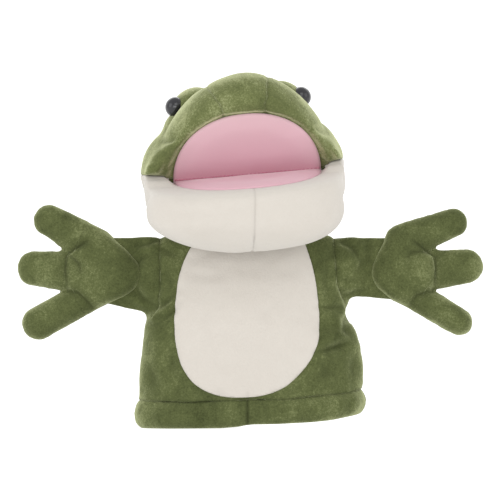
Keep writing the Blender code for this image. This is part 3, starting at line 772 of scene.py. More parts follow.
def cheek_join(H):
    """Height over the seam between the green cheek and the cream jaw, outside the mouth's corners."""
    x = np.abs(H[:, 0])
    rise = (4.2 + 0.16 * (x - 56)) * step(x, 47, 58) * step(-H[:, 1], -36, -22)
    back = np.maximum(H[:, 1] - 17 * step(x, 55, 64), 0)
    return H[:, 2] + back * SN / CN - rise


def behind(H):
    """Height over the join behind the hinge; out at the cheeks the join keeps the seam's height further back."""
    o = step(np.abs(H[:, 0]), 57, 64)
    return back_join(H) * (1 - o) + cheek_join(H) * o


def ear(H):
    """The jaw's rounded shoulder under each cheek, which shows when the mouth closes."""
    d = np.maximum(head_all(H) + 3.4, np.hypot(H[:, 1] - 2, H[:, 2]) - 21)
    return smax(smax(d, 58.5 - np.abs(H[:, 0]), 2), -3 - H[:, 1], 2)


def upper_cut(H):
    """Positive below the upper lip: the palate with the lip's roll round it, and the cheek's seam outside that."""
    v, n = palate_vn(H)
    t = seam_gap(H[:, 0], np.maximum(v, 0))
    roll = step(t, -0.5, 7.0) * 5.0 * step(v, 0, 14)
    w = step(t, 7.5, 14.5) * step(v, 32, 12)
    return np.maximum(-(n + roll) * (1 - w) - cheek_join(H) * w, -behind(H))


def lower_cut(H):
    """Positive above the lower lip."""
    v, n = plate_vn(H)
    t = seam_gap(H[:, 0], np.maximum(v, 0))
    roll = step(t, -0.5, 5.0) * 0.5 * step(v, 0, 16)
    w = step(t, 0.0, 6.0) * step(v, 27, 6)
    return np.maximum((n - roll) * (1 - w) + cheek_join(H) * w, behind(H))


def upper_field(P):
    H = to_head(P)
    v, n = palate_vn(H)
    t = seam_gap(H[:, 0], np.maximum(v, 0))
    lip = step(v, 3, 12) * (1 - step(t, 7.5, 14.5) * step(v, 32, 12))
    soft = np.maximum(lip, step(cheek_join(H), 2, 12) * step(-H[:, 1], -6, 2))
    # the lip turns in more gently towards the mouth's corners
    corner = step(v, 48, 26) * step(t, 2.5, 9)
    d = smax(head_all(H), upper_cut(H), 1.4 + 6.0 * soft + 6.5 * soft * corner)
    return smax(d, -passage(P), 1.5)


def lower_field(P):
    H = to_head(P)
    wide = 1 - 0.75 * step(np.abs(H[:, 0]), 46, 66)
    d = smax(lower_only(H), lower_cut(H), 1.6 + 9.0 * step(-H[:, 1], 14, 50) * wide)
    d = np.minimum(d, ear(H))
    return smax(d, -passage(P), 1.5)


PITCH = 1.5
CHIN_BACK = 24.0


def crown_line(H, side):
    """Signed distance across the crown seam of that side, positive towards the ear side."""
    # both seams run from the lip's edge up and over, leaning out a little at the top
    z = H[:, 2]
    if side > 0:
        edge = np.interp(z, (40, 52, 57, 66, 78), (15.5, 15.0, 17.5, 18.3, 21.5))
    else:
        edge = np.interp(z, (40, 46, 55, 66, 76), (-15.0, -16.5, -19.0, -25.0, -29.0))
    # behind the ridge the gusset keeps its width
    return side * (H[:, 0] - edge)


def crown_field(H):
    """Negative inside the crown panel."""
    return np.maximum(np.maximum(crown_line(H, 1), crown_line(H, -1)), H[:, 1] - 4.0)


def brow_back(H):
    """Negative in front: the plane between the brow panels and the back of the head."""
    v, n = palate_vn(H)
    return -(v - 6.0 - 0.10 * (n - 30))


def chin_seam(H):
    return H[:, 0] - (1.15 + 0.0875 * H[:, 2])


def mound_field(H):
    """Negative inside the mounds' own panels."""
    rest = smin(smin(skull(H), jaw(H), 9), muzzle(H), 1.0)
    return mounds(H) - rest + 0.8


def lip_fold(H):
    """Near zero in the fold between the lip's roll and what is behind it."""
    behind = smin(smin(skull(H), jaw(H), 9), mounds(H), 3.0)
    v, n = palate_vn(H)
    return muzzle(H) - behind + 1e3 * (np.abs(muzzle(H)) > 6) + 1e3 * (n < 1)


def build_head():
    lo, hi = (-88, -78, 150), (84, 74, 274)
    V, Q, E = formed(upper_field, lo, hi, PITCH)
    H = to_head(V)
    v, n = palate_vn(H)
    N = normals(V, Q)
    gap = seam_gap(H[:, 0], np.maximum(v, 0))
    outer = step(head_all(H), -3.2, -0.8)
    # seams pull in
    d = np.zeros(len(V))
    front = step(-H[:, 1] + 4, 0, 6)
    for side in (1, -1):
        f = crown_line(H, side)
        d -= front * (0.75 * np.exp(-(f / 1.5) ** 2) + 0.5 * np.exp(-(f / 7) ** 2))
    f = brow_back(H)
    d -= 0.5 * np.exp(-(f / 1.5) ** 2) * step(np.abs(H[:, 0]), 2, 10)
    mf = mound_field(H)
    d -= 0.7 * np.exp(-(mf / 1.8) ** 2)
    d -= 0.6 * np.exp(-(lip_fold(H) / 2.8) ** 2)
    under = H[:, 1] * SN + H[:, 2] * CN
    d -= 1.0 * np.exp(-(under / 2.2) ** 2) * step(gap, -1, 4)
    # stuffing
    d += outer * (0.55 * noise(V, 26, 1) + 0.28 * noise(V, 11, 2))
    # puckers beside the crown seams and the lip's seam
    for side in (1, -1):
        f = crown_line(H, side)
        d += 0.28 * np.exp(-(f / 5) ** 2) * noise(V * np.array([0.5, 1, 1]), 3.4, 3) * front
    d += 0.42 * np.exp(-((gap - 2.5) / 4) ** 2) * noise(V, 5, 4) * step(n, 8, -2)
    V2 = V + N * d[:, None]
    whole = Cloth(V2, Q, V)

    # the lining's D and the passage's walls come away from the skin
    def inside_d(P):
        H = to_head(P)
        v, n = palate_vn(H)
        g = seam_gap(H[:, 0], np.maximum(v, 0)) + 1.6
        return np.maximum(np.maximum(g, n - 3.0), -(v + 3.0))

    rest = whole.above(inside_d)
    wall_piece, skin = rest.split(passage(rest.base) - 1.2)
    join_face = lambda P: np.maximum(np.maximum(back_join(to_head(P)) - 1.0, head_all(to_head(P)) + 3.0), 2.0 - to_head(P)[:, 1])
    skin = skin.above(join_face)
    return skin, wall_piece


def build_jaw():
    lo, hi = (-88, -78, 120), (84, 74, 214)
    V, Q, E = formed(lower_field, lo, hi, PITCH)
    H = to_head(V)
    v, n = plate_vn(H)
    N = normals(V, Q)
    gap = seam_gap(H[:, 0], np.maximum(v, 0))
    outer = step(lower_only(H), -3.2, -0.8)
    d = np.zeros(len(V))
    front = step(-H[:, 1], 4, 10)
    f = chin_seam(H)
    d -= front * outer * (0.5 * np.exp(-(f / 1.1) ** 2) + 0.35 * np.exp(-(f / 9) ** 2))
    # the shallow channel under the lip's roll
    below = n + 17.0 + 1.5 * np.cos(H[:, 0] / 26)
    d -= front * outer * 0.9 * np.exp(-(below / 5.0) ** 2)
    under = H[:, 1] * SN + H[:, 2] * CN
    d -= 1.0 * np.exp(-(under / 2.2) ** 2) * step(gap, -1, 4)
    edge = H[:, 1] - CHIN_BACK
    d -= 0.6 * np.exp(-(edge / 1.6) ** 2) * outer
    d += outer * (0.6 * noise(V, 30, 5) + 0.22 * noise(V, 12, 6))
    d += 0.3 * np.exp(-((gap - 2.5) / 4) ** 2) * noise(V, 5, 7) * step(n, -8, 2)
    V2 = V + N * d[:, None]
    whole = Cloth(V2, Q, V)

    def inside_d(P):
        H = to_head(P)
        v, n = plate_vn(H)
        g = seam_gap(H[:, 0], np.maximum(v, 0)) + 1.6
        return np.maximum(np.maximum(g, -n - 3.0), -(v + 3.0))

    rest = whole.above(inside_d)
    wall_piece, skin = rest.split(passage(rest.base) - 1.2)
    join_face = lambda P: np.maximum(np.maximum(-back_join(to_head(P)) - 1.0, lower_only(to_head(P)) + 3.0), 2.0 - to_head(P)[:, 1])
    skin = skin.above(join_face)
    return skin, wall_piece


print("head")
upper_skin, upper_wall = build_head()
jaw_skin, jaw_wall = build_jaw()

hf = lambda fn: (lambda P: fn(to_head(P)))
mound_part, rest = upper_skin.split(mound_field(to_head(upper_skin.base)))
crown, rest = rest.split(crown_field(to_head(rest.base)))
brows, head_back = rest.split(brow_back(to_head(rest.base)))
brow_r, brow_l = brows.split(to_head(brows.base)[:, 0])
mound_r, mound_l = mound_part.split(to_head(mound_part.base)[:, 0] + 2.5)
jaw_at = to_head(jaw_skin.base)
nape_side = np.maximum(jaw_at[:, 1] - CHIN_BACK, np.minimum(np.minimum(cheek_join(jaw_at) - 0.9, np.abs(jaw_at[:, 0]) - 58), jaw_at[:, 1] + 5))
chin, nape = jaw_skin.split(nape_side)
chin_r, chin_l = chin.split(chin_seam(to_head(chin.base)))



# darkening for the head's cloth: dark seam lines, and painted shade in the lip's fold and along the lip's cut rim
def upper_shade(P):
    H = to_head(P)
    front = step(4 - H[:, 1], 0, 6)
    s = 0
    for side in (1, -1):
        s = np.maximum(s, 0.5 * front * np.exp(-(crown_line(H, side) / 1.2) ** 2))
    s = np.maximum(s, np.exp(-(brow_back(H) / 1.3) ** 2) * step(np.abs(H[:, 0]), 2, 10))
    s = np.maximum(s, 0.8 * np.exp(-(mound_field(H) / 1.5) ** 2))
    v, n = palate_vn(H)
    gap = seam_gap(H[:, 0], np.maximum(v, 0))
    s = np.maximum(s, np.exp(-((gap + 1.3) / 1.3) ** 2) * step(n, 6, 3) * 0.8)
    s = np.maximum(s, 0.4 * np.exp(-(lip_fold(H) / 2.0) ** 2))
    return np.maximum(s, np.exp(-(cheek_join(H) / 1.1) ** 2) * step(gap, 2, 8) * 0.4)


def jaw_shade(P):
    H = to_head(P)
    v, n = plate_vn(H)
    gap = seam_gap(H[:, 0], np.maximum(v, 0))
    s = 0.55 * np.exp(-(chin_seam(H) / 0.8) ** 2) * step(-H[:, 1], 4, 10) * step(gap, -1, 1)
    s = np.maximum(s, np.exp(-((H[:, 1] - CHIN_BACK) / 1.3) ** 2))
    return np.maximum(s, 0.5 * np.exp(-((gap - 0.2) / 1.1) ** 2) * step(n, -6, -2))


SKIN = 1.6
HEAD_PIECES = []
for name, cloth, mat, slot, stands in (
    ("crown_cloth", crown, GREEN, "green_plush", ("crown_panel", "upper_head_stuffing", "mouth_board_upper")),
    ("brow_cloth_left", brow_l, GREEN, "green_plush", ("brow_panel_left",)),
    ("brow_cloth_right", brow_r, GREEN, "green_plush", ("brow_panel_right",)),
    ("head_back_cloth", head_back, GREEN, "green_plush", ("head_back_panel",)),
    ("mound_cloth_left", mound_l, GREEN, "green_plush", ("eye_mound_left", "eye_washer_left")),
    ("mound_cloth_right", mound_r, GREEN, "green_plush", ("eye_mound_right", "eye_washer_right")),
    ("finger_pocket_cloth", upper_wall, INNER, "inner_cloth", ("finger_pocket",)),
    ("chin_cloth_left", chin_l, CREAM, "cream_plush", ("chin_panel_left", "lower_jaw_stuffing", "mouth_board_lower")),
    ("chin_cloth_right", chin_r, CREAM, "cream_plush", ("chin_panel_right",)),
    ("nape_cloth", nape, GREEN, "green_plush", ("nape_panel",)),
    ("thumb_pocket_cloth", jaw_wall, INNER, "inner_cloth", ("thumb_pocket",)),
):
    if not cloth.faces:
        print("EMPTY", name)
        continue
    o = piece(name, cloth, mat, stands, SKIN, shade=None if mat is INNER else jaw_shade if name[:4] in ("chin", "nape") else upper_shade)
    HEAD_PIECES.append(o)

# the linings: two D sheets that meet at the crease


def lining(name, point, stands, up):
    """A D sheet with a soft crown, from the crease to its rim."""
    rings, spokes = 30, 96
    verts, grid = [], []
    for i in range(rings + 1):
        s = i / rings
        row = []
        for j in range(spokes + 1):
            a = math.pi * j / spokes
            c, sn = math.cos(a), math.sin(a)
            g = (abs(c / MOUTH_W) ** 2.15 + abs(sn / MOUTH_L) ** 2.15) ** (1 / 2.15)
            r = (1 / g - 0.6) * s
            row.append((r * c, max(r * sn, 0.0)))
        grid.append(row)
    pts = np.array(grid).reshape(-1, 2)
    x, v = pts[:, 0], pts[:, 1]
    gap = -seam_gap(x, v)
    # hollow towards the rim and the crease, a low swell between
    n = 1.1 * step(gap, 0, 16) * step(v, 0, 22) - 0.9 * np.exp(-(gap / 2.0) ** 2)
    n = n + 0.35 * noise(np.stack([x, v, x * 0], 1), 17, 9) * step(gap, 0, 8)
    if up > 0:
        n = -n - 0.2
    else:
        n = n + 0.2
    base = point(x, v, n)
    P = from_head(base)
    faces = []
    w = spokes + 1
    for i in range(rings):
        for j in range(spokes):
            a, b, c, d = i * w + j, (i + 1) * w + j, (i + 1) * w + j + 1, i * w + j + 1
            if i == 0:
                face = (0, b, c)
            else:
                face = (a, b, c, d)
            faces.append(face if up < 0 else tuple(reversed(face)))
    cl = Cloth(P, faces, P).tidy()
    H = to_head(cl.V)
    o = piece(name, cl.thick(1.2), PINK, stands)
    Hv = to_head(np.array([tuple(p.co) for p in o.data.vertices]) * 1000.0)
    dist = np.hypot(Hv[:, 1], Hv[:, 2])
    # painted shade: the lining darkens towards the crease, and the lower sheet's value is scaled down so that it stays
    # near the darker end
    attr = o.data.attributes.new("from_crease", "FLOAT", "POINT")
    attr.data.foreach_set("value", np.clip(dist / 62.0 * (1.0 if up > 0 else 0.3), 0, 1).astype(np.float32))
    return o


lining_up = lining("mouth_lining_cloth_upper", palate_point, ("mouth_lining_upper",), 1)
lining_low = lining("mouth_lining_cloth_lower", plate_point, ("mouth_lining_lower",), -1)

# the crease's stitching: a run of short stitches


def tube(points, radius, sides=8):
    P = np.array(points, float)
    T = np.gradient(P, axis=0)
    T /= np.linalg.norm(T, axis=1)[:, None]
    U = np.cross(T, np.array([0, 0, 1.0]))
    U /= np.maximum(np.linalg.norm(U, axis=1), 1e-9)[:, None]
    W = np.cross(T, U)
    V, F = [], []
    n = len(P)
    for i in range(n):
        r = radius if np.isscalar(radius) else radius[i]
        for k in range(sides):
            a = 2 * math.pi * k / sides
            V.append(P[i] + r * (math.cos(a) * U[i] + math.sin(a) * W[i]))
    for i in range(n - 1):
        for k in range(sides):
            a, b = i * sides + k, i * sides + (k + 1) % sides
            F.append((a, a + sides, b + sides, b))
    F.append(tuple(range(sides)))
    F.append(tuple((n - 1) * sides + k for k in reversed(range(sides))))
    return Cloth(np.array(V), F)


THREAD = plain_weave("rose_thread", (0.42, 0.15, 0.205), (0.52, 0.215, 0.275))
xs = np.linspace(-54.6, 54.6, 200)
crease = from_head(np.stack([xs, -2.8 + 0.12 * np.sin(xs * 1.9), 1.6 + 0.10 * np.sin(xs * 0.9)], 1))
rad = 0.75 + 0.12 * np.cos(xs * 2.2)
crease_obj = piece("crease_stitching", tube(crease, rad), THREAD, ("mouth_crease_stitching",))

# the head's skin and linings have their placement baked into their points
for o in HEAD_PIECES + [lining_up, lining_low]:
    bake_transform(o)
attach(crease_obj, "lower_jaw")

# eyes: a dome on a short rim, set into the mound


def eye(side):
    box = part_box("eye_left" if side > 0 else "eye_right")
    lo, hi = np.array(box[0]) * 1000, np.array(box[1]) * 1000
    axis = np.array([side * 0.86, -0.38, 0.33])
    axis /= np.linalg.norm(axis)
    axis = R_HEAD @ axis
    centre = (lo + hi) / 2
    # the CAD box covers dome and post; the dome's centre lies on the axis near its outer end
    u = np.cross(axis, [0, 0, 1.0])
    u /= np.linalg.norm(u)
    w = np.cross(u, axis)
    profile = []
    R = 7.6
    for k in range(25):
        t = math.pi / 2 * k / 24
        profile.append((R * math.sin(t), R * 0.92 * math.cos(t)))
    profile += [(R * 1.0, -0.8), (R * 0.985, -1.6), (R * 0.93, -2.3), (R * 0.80, -2.8), (R * 0.5, -3.0), (2.4, -3.0), (2.4, -6.5), (0.0, -6.5)]
    sides = 48
    V, F = [], []
    top = centre + (np.array([0.0, 0.0, 0.8]) if side > 0 else np.array([1.9, 0.0, 1.6]))
    V.append(top + axis * profile[0][1])
    for r, h in profile[1:-1]:
        for k in range(sides):
            a = 2 * math.pi * k / sides
            V.append(top + axis * h + r * (math.cos(a) * u + math.sin(a) * w))
    V.append(top + axis * profile[-1][1])
    rows = len(profile) - 2
    for k in range(sides):
        F.append((0, 1 + (k + 1) % sides, 1 + k))
    for i in range(rows - 1):
        for k in range(sides):
            a, b = 1 + i * sides + k, 1 + i * sides + (k + 1) % sides
            F.append((a, b, b + sides, a + sides))
    last = len(V) - 1
    for k in range(sides):
        a, b = 1 + (rows - 1) * sides + k, 1 + (rows - 1) * sides + (k + 1) % sides
        F.append((a, b, last))
    cl = Cloth(np.array(V), F)
    o = piece("bead_eye_left" if side > 0 else "bead_eye_right", cl, BLACK, ("eye_left" if side > 0 else "eye_right",))
    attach(o, "upper_head")
    return o


for side in (1, -1):
    eye(side)

# ------------------------------------------------------------------ the sleeve and the arms

LEVELS = np.array([
    (0, 85.5, 45, 39), (10, 86.5, 46, 40), (21.5, 85, 44, 38.5), (50, 83.5, 40, 36), (78, 80, 36, 33),
    (92, 76, 32.5, 31), (104, 71.5, 29.5, 29.5), (118, 69, 26.5, 28), (134, 67.5, 23.5, 26), (143, 64, 22, 24.5),
    (148.5, 55, 20.5, 22.5), (151, 44, 19.5, 20.5)], float)
BODY_Y = 23.0


def sleeve_lateral(P, inset=0.0):
    z = np.clip(P[:, 2], 0, 151)
    a = np.interp(z, LEVELS[:, 0], LEVELS[:, 1]) - inset
    f = np.interp(z, LEVELS[:, 0], LEVELS[:, 2]) - inset
    k = np.interp(z, LEVELS[:, 0], LEVELS[:, 3]) - inset
    y = P[:, 1] - BODY_Y
    # under the puppet's left arm the cloth is drawn in
    a = a - np.where(P[:, 0] > 0, 5.6 * np.exp(-((z - 83) / 9.5) ** 2), 0)
    b = np.where(y < 0, f, k)
    g = np.maximum((np.abs(P[:, 0] / a) ** 2.3 + np.abs(y / b) ** 2.3) ** (1 / 2.3), 0.02)
    return np.hypot(P[:, 0], y) * (1 - 1 / g)


def torso_solid(P):
    side = sleeve_lateral(P)
    # a rounded shoulder: the front and back lie together towards the top
    shoulder = P[:, 2] - (150.5 - 0.0016 * np.abs(P[:, 0]) ** 2 * 1.05)
    return smax(side, shoulder, 9.0)


def arm_solid(P, side):
    x = side * P[:, 0]
    # the sleeve narrows from the armhole to the wrist
    if side > 0:
        mid = np.interp(x, (50, 66, 80, 110), (118.0, 119.6, 121.0, 119.9))
        half = np.interp(x, (50, 66, 80, 110), (27.0, 24.6, 22.6, 23.9))
    else:
        mid = np.interp(x, (50, 80, 108), (115.0, 115.2, 118.5))
        half = np.interp(x, (50, 80, 108), (30.0, 28.6, 25.2))
    thick = np.interp(x, (50, 68, 78, 86, 112), (17.0, 14.6, 11.4, 7.0, 6.0))
    z, y = (P[:, 2] - mid) / half, (P[:, 1] - BODY_Y) / thick
    g = np.maximum((np.abs(z) ** 2.2 + np.abs(y) ** 2.2) ** (1 / 2.2), 0.02)
    d = np.hypot(P[:, 2] - mid, P[:, 1] - BODY_Y) * (1 - 1 / g)
    return smax(smax(d, x - 112, 4), 40 - x, 4)


def garment(P):
    d = torso_solid(P)
    for side in (1, -1):
        d = smin(d, arm_solid(P, side), 6)
    return d


def armhole_gap(P, side):
    """Distance outside the armhole's seam, which leans out at its lower end."""
    if side > 0:
        edge = np.interp(P[:, 2], (90, 96, 99.4, 107, 120, 135.5, 150), (73, 71.5, 70, 66, 64.4, 63.2, 62.6))
    else:
        edge = np.interp(P[:, 2], (82, 87, 94, 102, 120, 135, 150), (74.2, 72.8, 70.2, 68.8, 68.4, 68.6, 67.6))
    return side * P[:, 0] - edge
print("garment")


def belly_field(P):
    """Negative inside the cream panel, on the front."""
    x, z = P[:, 0] + 2.8, P[:, 2] - 78
    up = z > 0
    left = x < 0
    h = np.where(up, np.where(left, 72.0 + 6 * step(z, 0, 56), 100.0), 54.8)
    p = np.where(left, 2.45, 2.05)
    w = np.where(left, 54.8, 54.6)
    g = np.maximum((np.abs(x / w) ** p + np.abs(z / h) ** p) ** (1 / p), 0.02)
    d = np.hypot(x, z) * (1 - 1 / g)
    return np.maximum(d, P[:, 1] - 18.0)


HEM_Z = 21.5

# folds in the sleeve and at the armholes: (points in x, z on the front), depth, width
FOLDS = (
    # the puppet's left flank: a long crease under the arm and the bulge over it
    (((49, 57), (56, 58), (66, 61.5), (78, 65)), -2.6, 3.2),
    (((50, 65), (62, 69), (74, 73)), 1.9, 5.5),
    (((76, 86), (71, 80), (70, 74), (77, 68)), -2.2, 3.2),
    (((73, 93), (66, 91), (56, 91), (50, 92)), -1.6, 2.6),
    (((60, 84), (66, 80), (69, 75)), 1.2, 3.6),
    (((68, 106), (72, 100), (75, 96)), -1.4, 2.4),
    (((52, 48), (57, 40), (64, 36)), -1.1, 5.5),
    (((80, 54), (77, 42), (79, 30)), -1.0, 4.5),
    (((58, 124), (56, 112), (57, 98)), -0.8, 4.0),
    (((62, 133), (58, 128), (52, 126)), -0.9, 3.0),
    # the puppet's right flank: creases that run in from the armhole
    (((-73, 90), (-66, 93), (-60, 99), (-55, 105)), -1.9, 3.3),
    (((-70, 84), (-64, 84), (-58, 89), (-54, 96)), -1.6, 2.8),
    (((-66, 99), (-60, 101), (-57, 107)), 1.0, 3.0),
    (((-80, 82), (-74, 78), (-66, 79)), -1.0, 3.4),
    (((-71, 76), (-69, 60), (-68, 44)), 1.0, 6.0),
    (((-60, 62), (-59, 48), (-53, 38)), -1.0, 5.0),
    (((-76, 50), (-73, 38), (-76, 28)), -0.8, 5.0),
    (((-68, 138), (-62, 132), (-55, 130)), -1.1, 3.0),
    (((-64, 118), (-60, 112), (-61, 103)), -0.7, 4.0),
    # over the hem's stitching
    (((13, 22), (18, 25), (24, 27)), -0.8, 2.2),
    (((24, 22), (29, 26), (38, 30)), -0.8, 2.4),
    (((-14, 23), (-20, 26), (-30, 27)), -0.6, 3.0),
    # the cream panel lies in long shallow creases
    (((-45, 115), (-34, 114), (-20, 114)), -0.7, 3.4),
    (((-46, 126), (-36, 129), (-26, 133)), -0.6, 3.6),
    (((6, 81), (16, 90), (28, 100)), -0.45, 5.0),
    (((-30, 60), (-34, 76), (-33, 92)), -0.35, 6.0),
    (((24, 60), (32, 70), (36, 84)), 0.4, 7.0),
    (((-38, 34), (-28, 40), (-16, 40)), 0.4, 6.0),
    # the sleeves' creases: out from the armhole and down to the underside
    (((66, 143), (74, 138), (80, 132), (84, 124)), -1.7, 3.2),
    (((88, 145), (90, 136), (87, 126), (80, 118)), -1.5, 3.0),
    (((70, 140), (78, 137), (86, 143)), -1.2, 2.6),
    (((70, 98), (78, 102), (88, 104)), -1.1, 3.0),
    (((66, 110), (74, 112), (84, 110)), -0.8, 3.4),
    (((93, 140), (96, 128), (94, 114)), 1.0, 3.6),
    (((-68, 143), (-76, 139), (-86, 137)), -1.5, 2.8),
    (((-72, 132), (-82, 128), (-90, 118)), -1.3, 3.2),
    (((-72, 92), (-82, 98), (-90, 108)), -1.5, 3.0),
    (((-74, 102), (-80, 108), (-84, 116)), 0.9, 3.8),
    (((-76, 88), (-86, 90), (-96, 96)), -0.9, 3.0),
)


def build_garment():
    lo, hi = (-118, -26, -4), (118, 68, 156)
    fn = lambda P: smax(garment(P), HEM_Z - 1.5 - P[:, 2], 0.5)
    V, Q, E = formed(fn, (lo[0], lo[1], HEM_Z - 6), hi, PITCH)
    N = normals(V, Q)
    x, y, z = V[:, 0], V[:, 1], V[:, 2]
    d = np.zeros(len(V))
    outer = step(z, HEM_Z - 1.0, HEM_Z + 1.5)
    # seams
    for side in (1, -1):
        f = armhole_gap(V, side)
        near = step(z, 82, 90)
        d -= near * (0.9 * np.exp(-(f / 1.4) ** 2) + 1.0 * np.exp(-(f / 6) ** 2))
        d += near * 0.55 * np.exp(-(f / 6) ** 2) * noise(V * np.array([0.4, 1, 1]), 4.2, 20)
    b = belly_field(V)
    front = step(18 - y, 0, 5)
    d -= front * (0.5 * np.exp(-(b / 1.2) ** 2) + 0.35 * np.exp(-(b / 6) ** 2))
    d += front * 0.30 * np.exp(-(b / 5) ** 2) * noise(V, 3.6, 21)
    back = step(y, BODY_Y, BODY_Y + 8)
    d -= back * (0.7 * np.exp(-(x / 1.2) ** 2) + 0.4 * np.exp(-(x / 7) ** 2))
    low = step(30 - z, 0, 6) * front
    fx = x + 2.2
    d -= low * 0.6 * np.exp(-(fx / 1.2) ** 2)
    side_seam = y - BODY_Y
    d -= 0.7 * np.exp(-(side_seam / 1.3) ** 2) * step(np.abs(x), 50, 60)
    # folds
    frontish = step(BODY_Y + 2 - y, 0, 8)
    for pts, depth, width in FOLDS:
        dist, t = line_distance(x, z, pts)
        fade = np.sin(np.pi * np.clip(0.12 + 0.76 * t, 0, 1))
        d += frontish * fade * depth * np.exp(-(dist / width) ** 2)
        d -= frontish * fade * 0.35 * depth * np.exp(-((dist - 1.7 * width) / width) ** 2)
        # a fold of the back near the same place
        d += back * 0.8 * fade * depth * np.exp(-(line_distance(-x, z + 3, pts)[0] / width) ** 2)
    # the cloth hangs in soft waves, gathered a little by the hem
    wave = noise(np.stack([x, y, z * 0.35], 1), 22, 22)
    d += outer * wave * (1.3 * step(110 - z, 0, 60) + 0.5) * (1 - 0.55 * front * step(-b, 0, 6))
    d += outer * 0.5 * noise(V, 9, 23)
    d -= (0.5 + 0.7 * step(x, 20, 80)) * np.exp(-((z - HEM_Z) / 2.6) ** 2)
    d += 0.45 * np.exp(-((z - HEM_Z - 4) / 5) ** 2) * noise(V * np.array([1, 1, 0.3]), 5.5, 24)
    V2 = V + N * d[:, None]
    whole = Cloth(V2, Q, V)
    # open at the bottom, at the neck, and at the wrists
    whole = whole.above(lambda P: P[:, 2] - HEM_Z)
    neck = lambda P: np.maximum(((np.abs(P[:, 0] / 43) ** 2.3 + np.abs((P[:, 1] - BODY_Y) / 19.5) ** 2.3) ** (1 / 2.3) - 1) * 25, 140 - P[:, 2])
    whole = whole.above(neck)
    for side in (1, -1):
        whole = whole.below(lambda P, s=side: s * P[:, 0] - 107.5)
    return whole


def garment_shade(P):
    x, y, z = P[:, 0], P[:, 1], P[:, 2]
    s = 0
    front = step(18 - y, 0, 5)
    for side in (1, -1):
        f = armhole_gap(P, side)
        s = np.maximum(s, 0.5 * step(z, 84, 90) * np.exp(-(f / 1.1) ** 2))
    s = np.maximum(s, 0.25 * front * np.exp(-(belly_field(P) / 1.0) ** 2))
    s = np.maximum(s, step(y, BODY_Y, BODY_Y + 8) * np.exp(-(x / 1.2) ** 2) * 0.8)
    s = np.maximum(s, step(30 - z, 0, 6) * front * np.exp(-((x + 2.2) / 1.2) ** 2) * 0.8)
    s = np.maximum(s, 0.7 * np.exp(-((y - BODY_Y) / 1.2) ** 2) * step(np.abs(x), 50, 60) * step(z, 140, 120))
    s = np.maximum(s, 0.45 * np.exp(-((z - HEM_Z) / 1.2) ** 2))
    near = step(BODY_Y + 2 - y, 0, 8)
    # painted shade in the creases of the folds
    for pts, depth, width in FOLDS:
        if depth < 0:
            dist, t = line_distance(x, z, pts)
            fade = np.sin(np.pi * np.clip(0.12 + 0.76 * t, 0, 1))
            s = np.maximum(s, near * fade * min(0.6, -0.34 * depth) * np.exp(-(dist / (0.6 * width)) ** 2))
    return s


garm = build_garment()
armhole = armhole_gap
# the arm's part lies above the sleeve's underside
def arm_region(P, side):
    return np.minimum(armhole(P, side), P[:, 2] - (93.0 if side > 0 else 83.0))


arm_cloth = {}
body = garm
for side in (1, -1):
    body, arm_cloth[side] = body.split(arm_region(body.base, side))
belly, body = body.split(belly_field(body.base))
front, back = body.split(body.base[:, 1] - BODY_Y)
front_r, front_l = front.split(front.base[:, 0] + 2.2)
back_r, back_l = back.split(back.base[:, 0])

BODY_PIECES = []
for name, cloth, mat, slot, stands, flat in (
    ("belly_cloth", belly, CREAM, "cream_plush", ("belly_panel",), (0.112, 0.128)),
    ("body_front_cloth_left", front_l, GREEN_SHADED, "green_plush", ("body_front_panel_left",), (0.090, 0.132)),
    ("body_front_cloth_right", front_r, GREEN_SHADED, "green_plush", ("body_front_panel_right",), (0.090, 0.132)),
    ("body_back_cloth_left", back_l, GREEN_SHADED, "green_plush", ("body_back_panel_left",), (0.098, 0.132)),
    ("body_back_cloth_right", back_r, GREEN_SHADED, "green_plush", ("body_back_panel_right",), (0.098, 0.132)),
):
    o = piece(name, cloth, mat, stands, 1.8, shade=garment_shade)
    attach(o, "body")
    c = cloth
    area = 0.0
    for face in c.faces:
        p0 = c.V[face[0]]
        for k in range(1, len(face) - 1):
            area += 0.5 * np.linalg.norm(np.cross(c.V[face[k]] - p0, c.V[face[k + 1]] - p0))
    print(name, "area m2", round(area / 1e6, 5))
    BODY_PIECES.append(o)

for side in (1, -1):
    w = "left" if side > 0 else "right"
    o = piece("arm_cloth_" + w, arm_cloth[side], GREEN_SHADED, ("arm_sleeve_" + w, "arm_stuffing_" + w), 1.6, shade=garment_shade)
    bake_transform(o)

# the hem: a folded band, a little fuller than the sleeve, notched at the front seam


def ring(levels, power, count, inset, shape=None):
    rows = []
    for z, a, f, k in levels:
        row = []
        for j in range(count):
            t = 2 * math.pi * j / count
            c, s = math.cos(t), math.sin(t)
            b = (f if s < 0 else k) - inset
            aa = a - inset
            g = (abs(c / aa) ** power + abs(s / b) ** power) ** (1 / power)
            row.append((c / g, BODY_Y + s / g, z))
        rows.append(row)
    return np.array(rows)


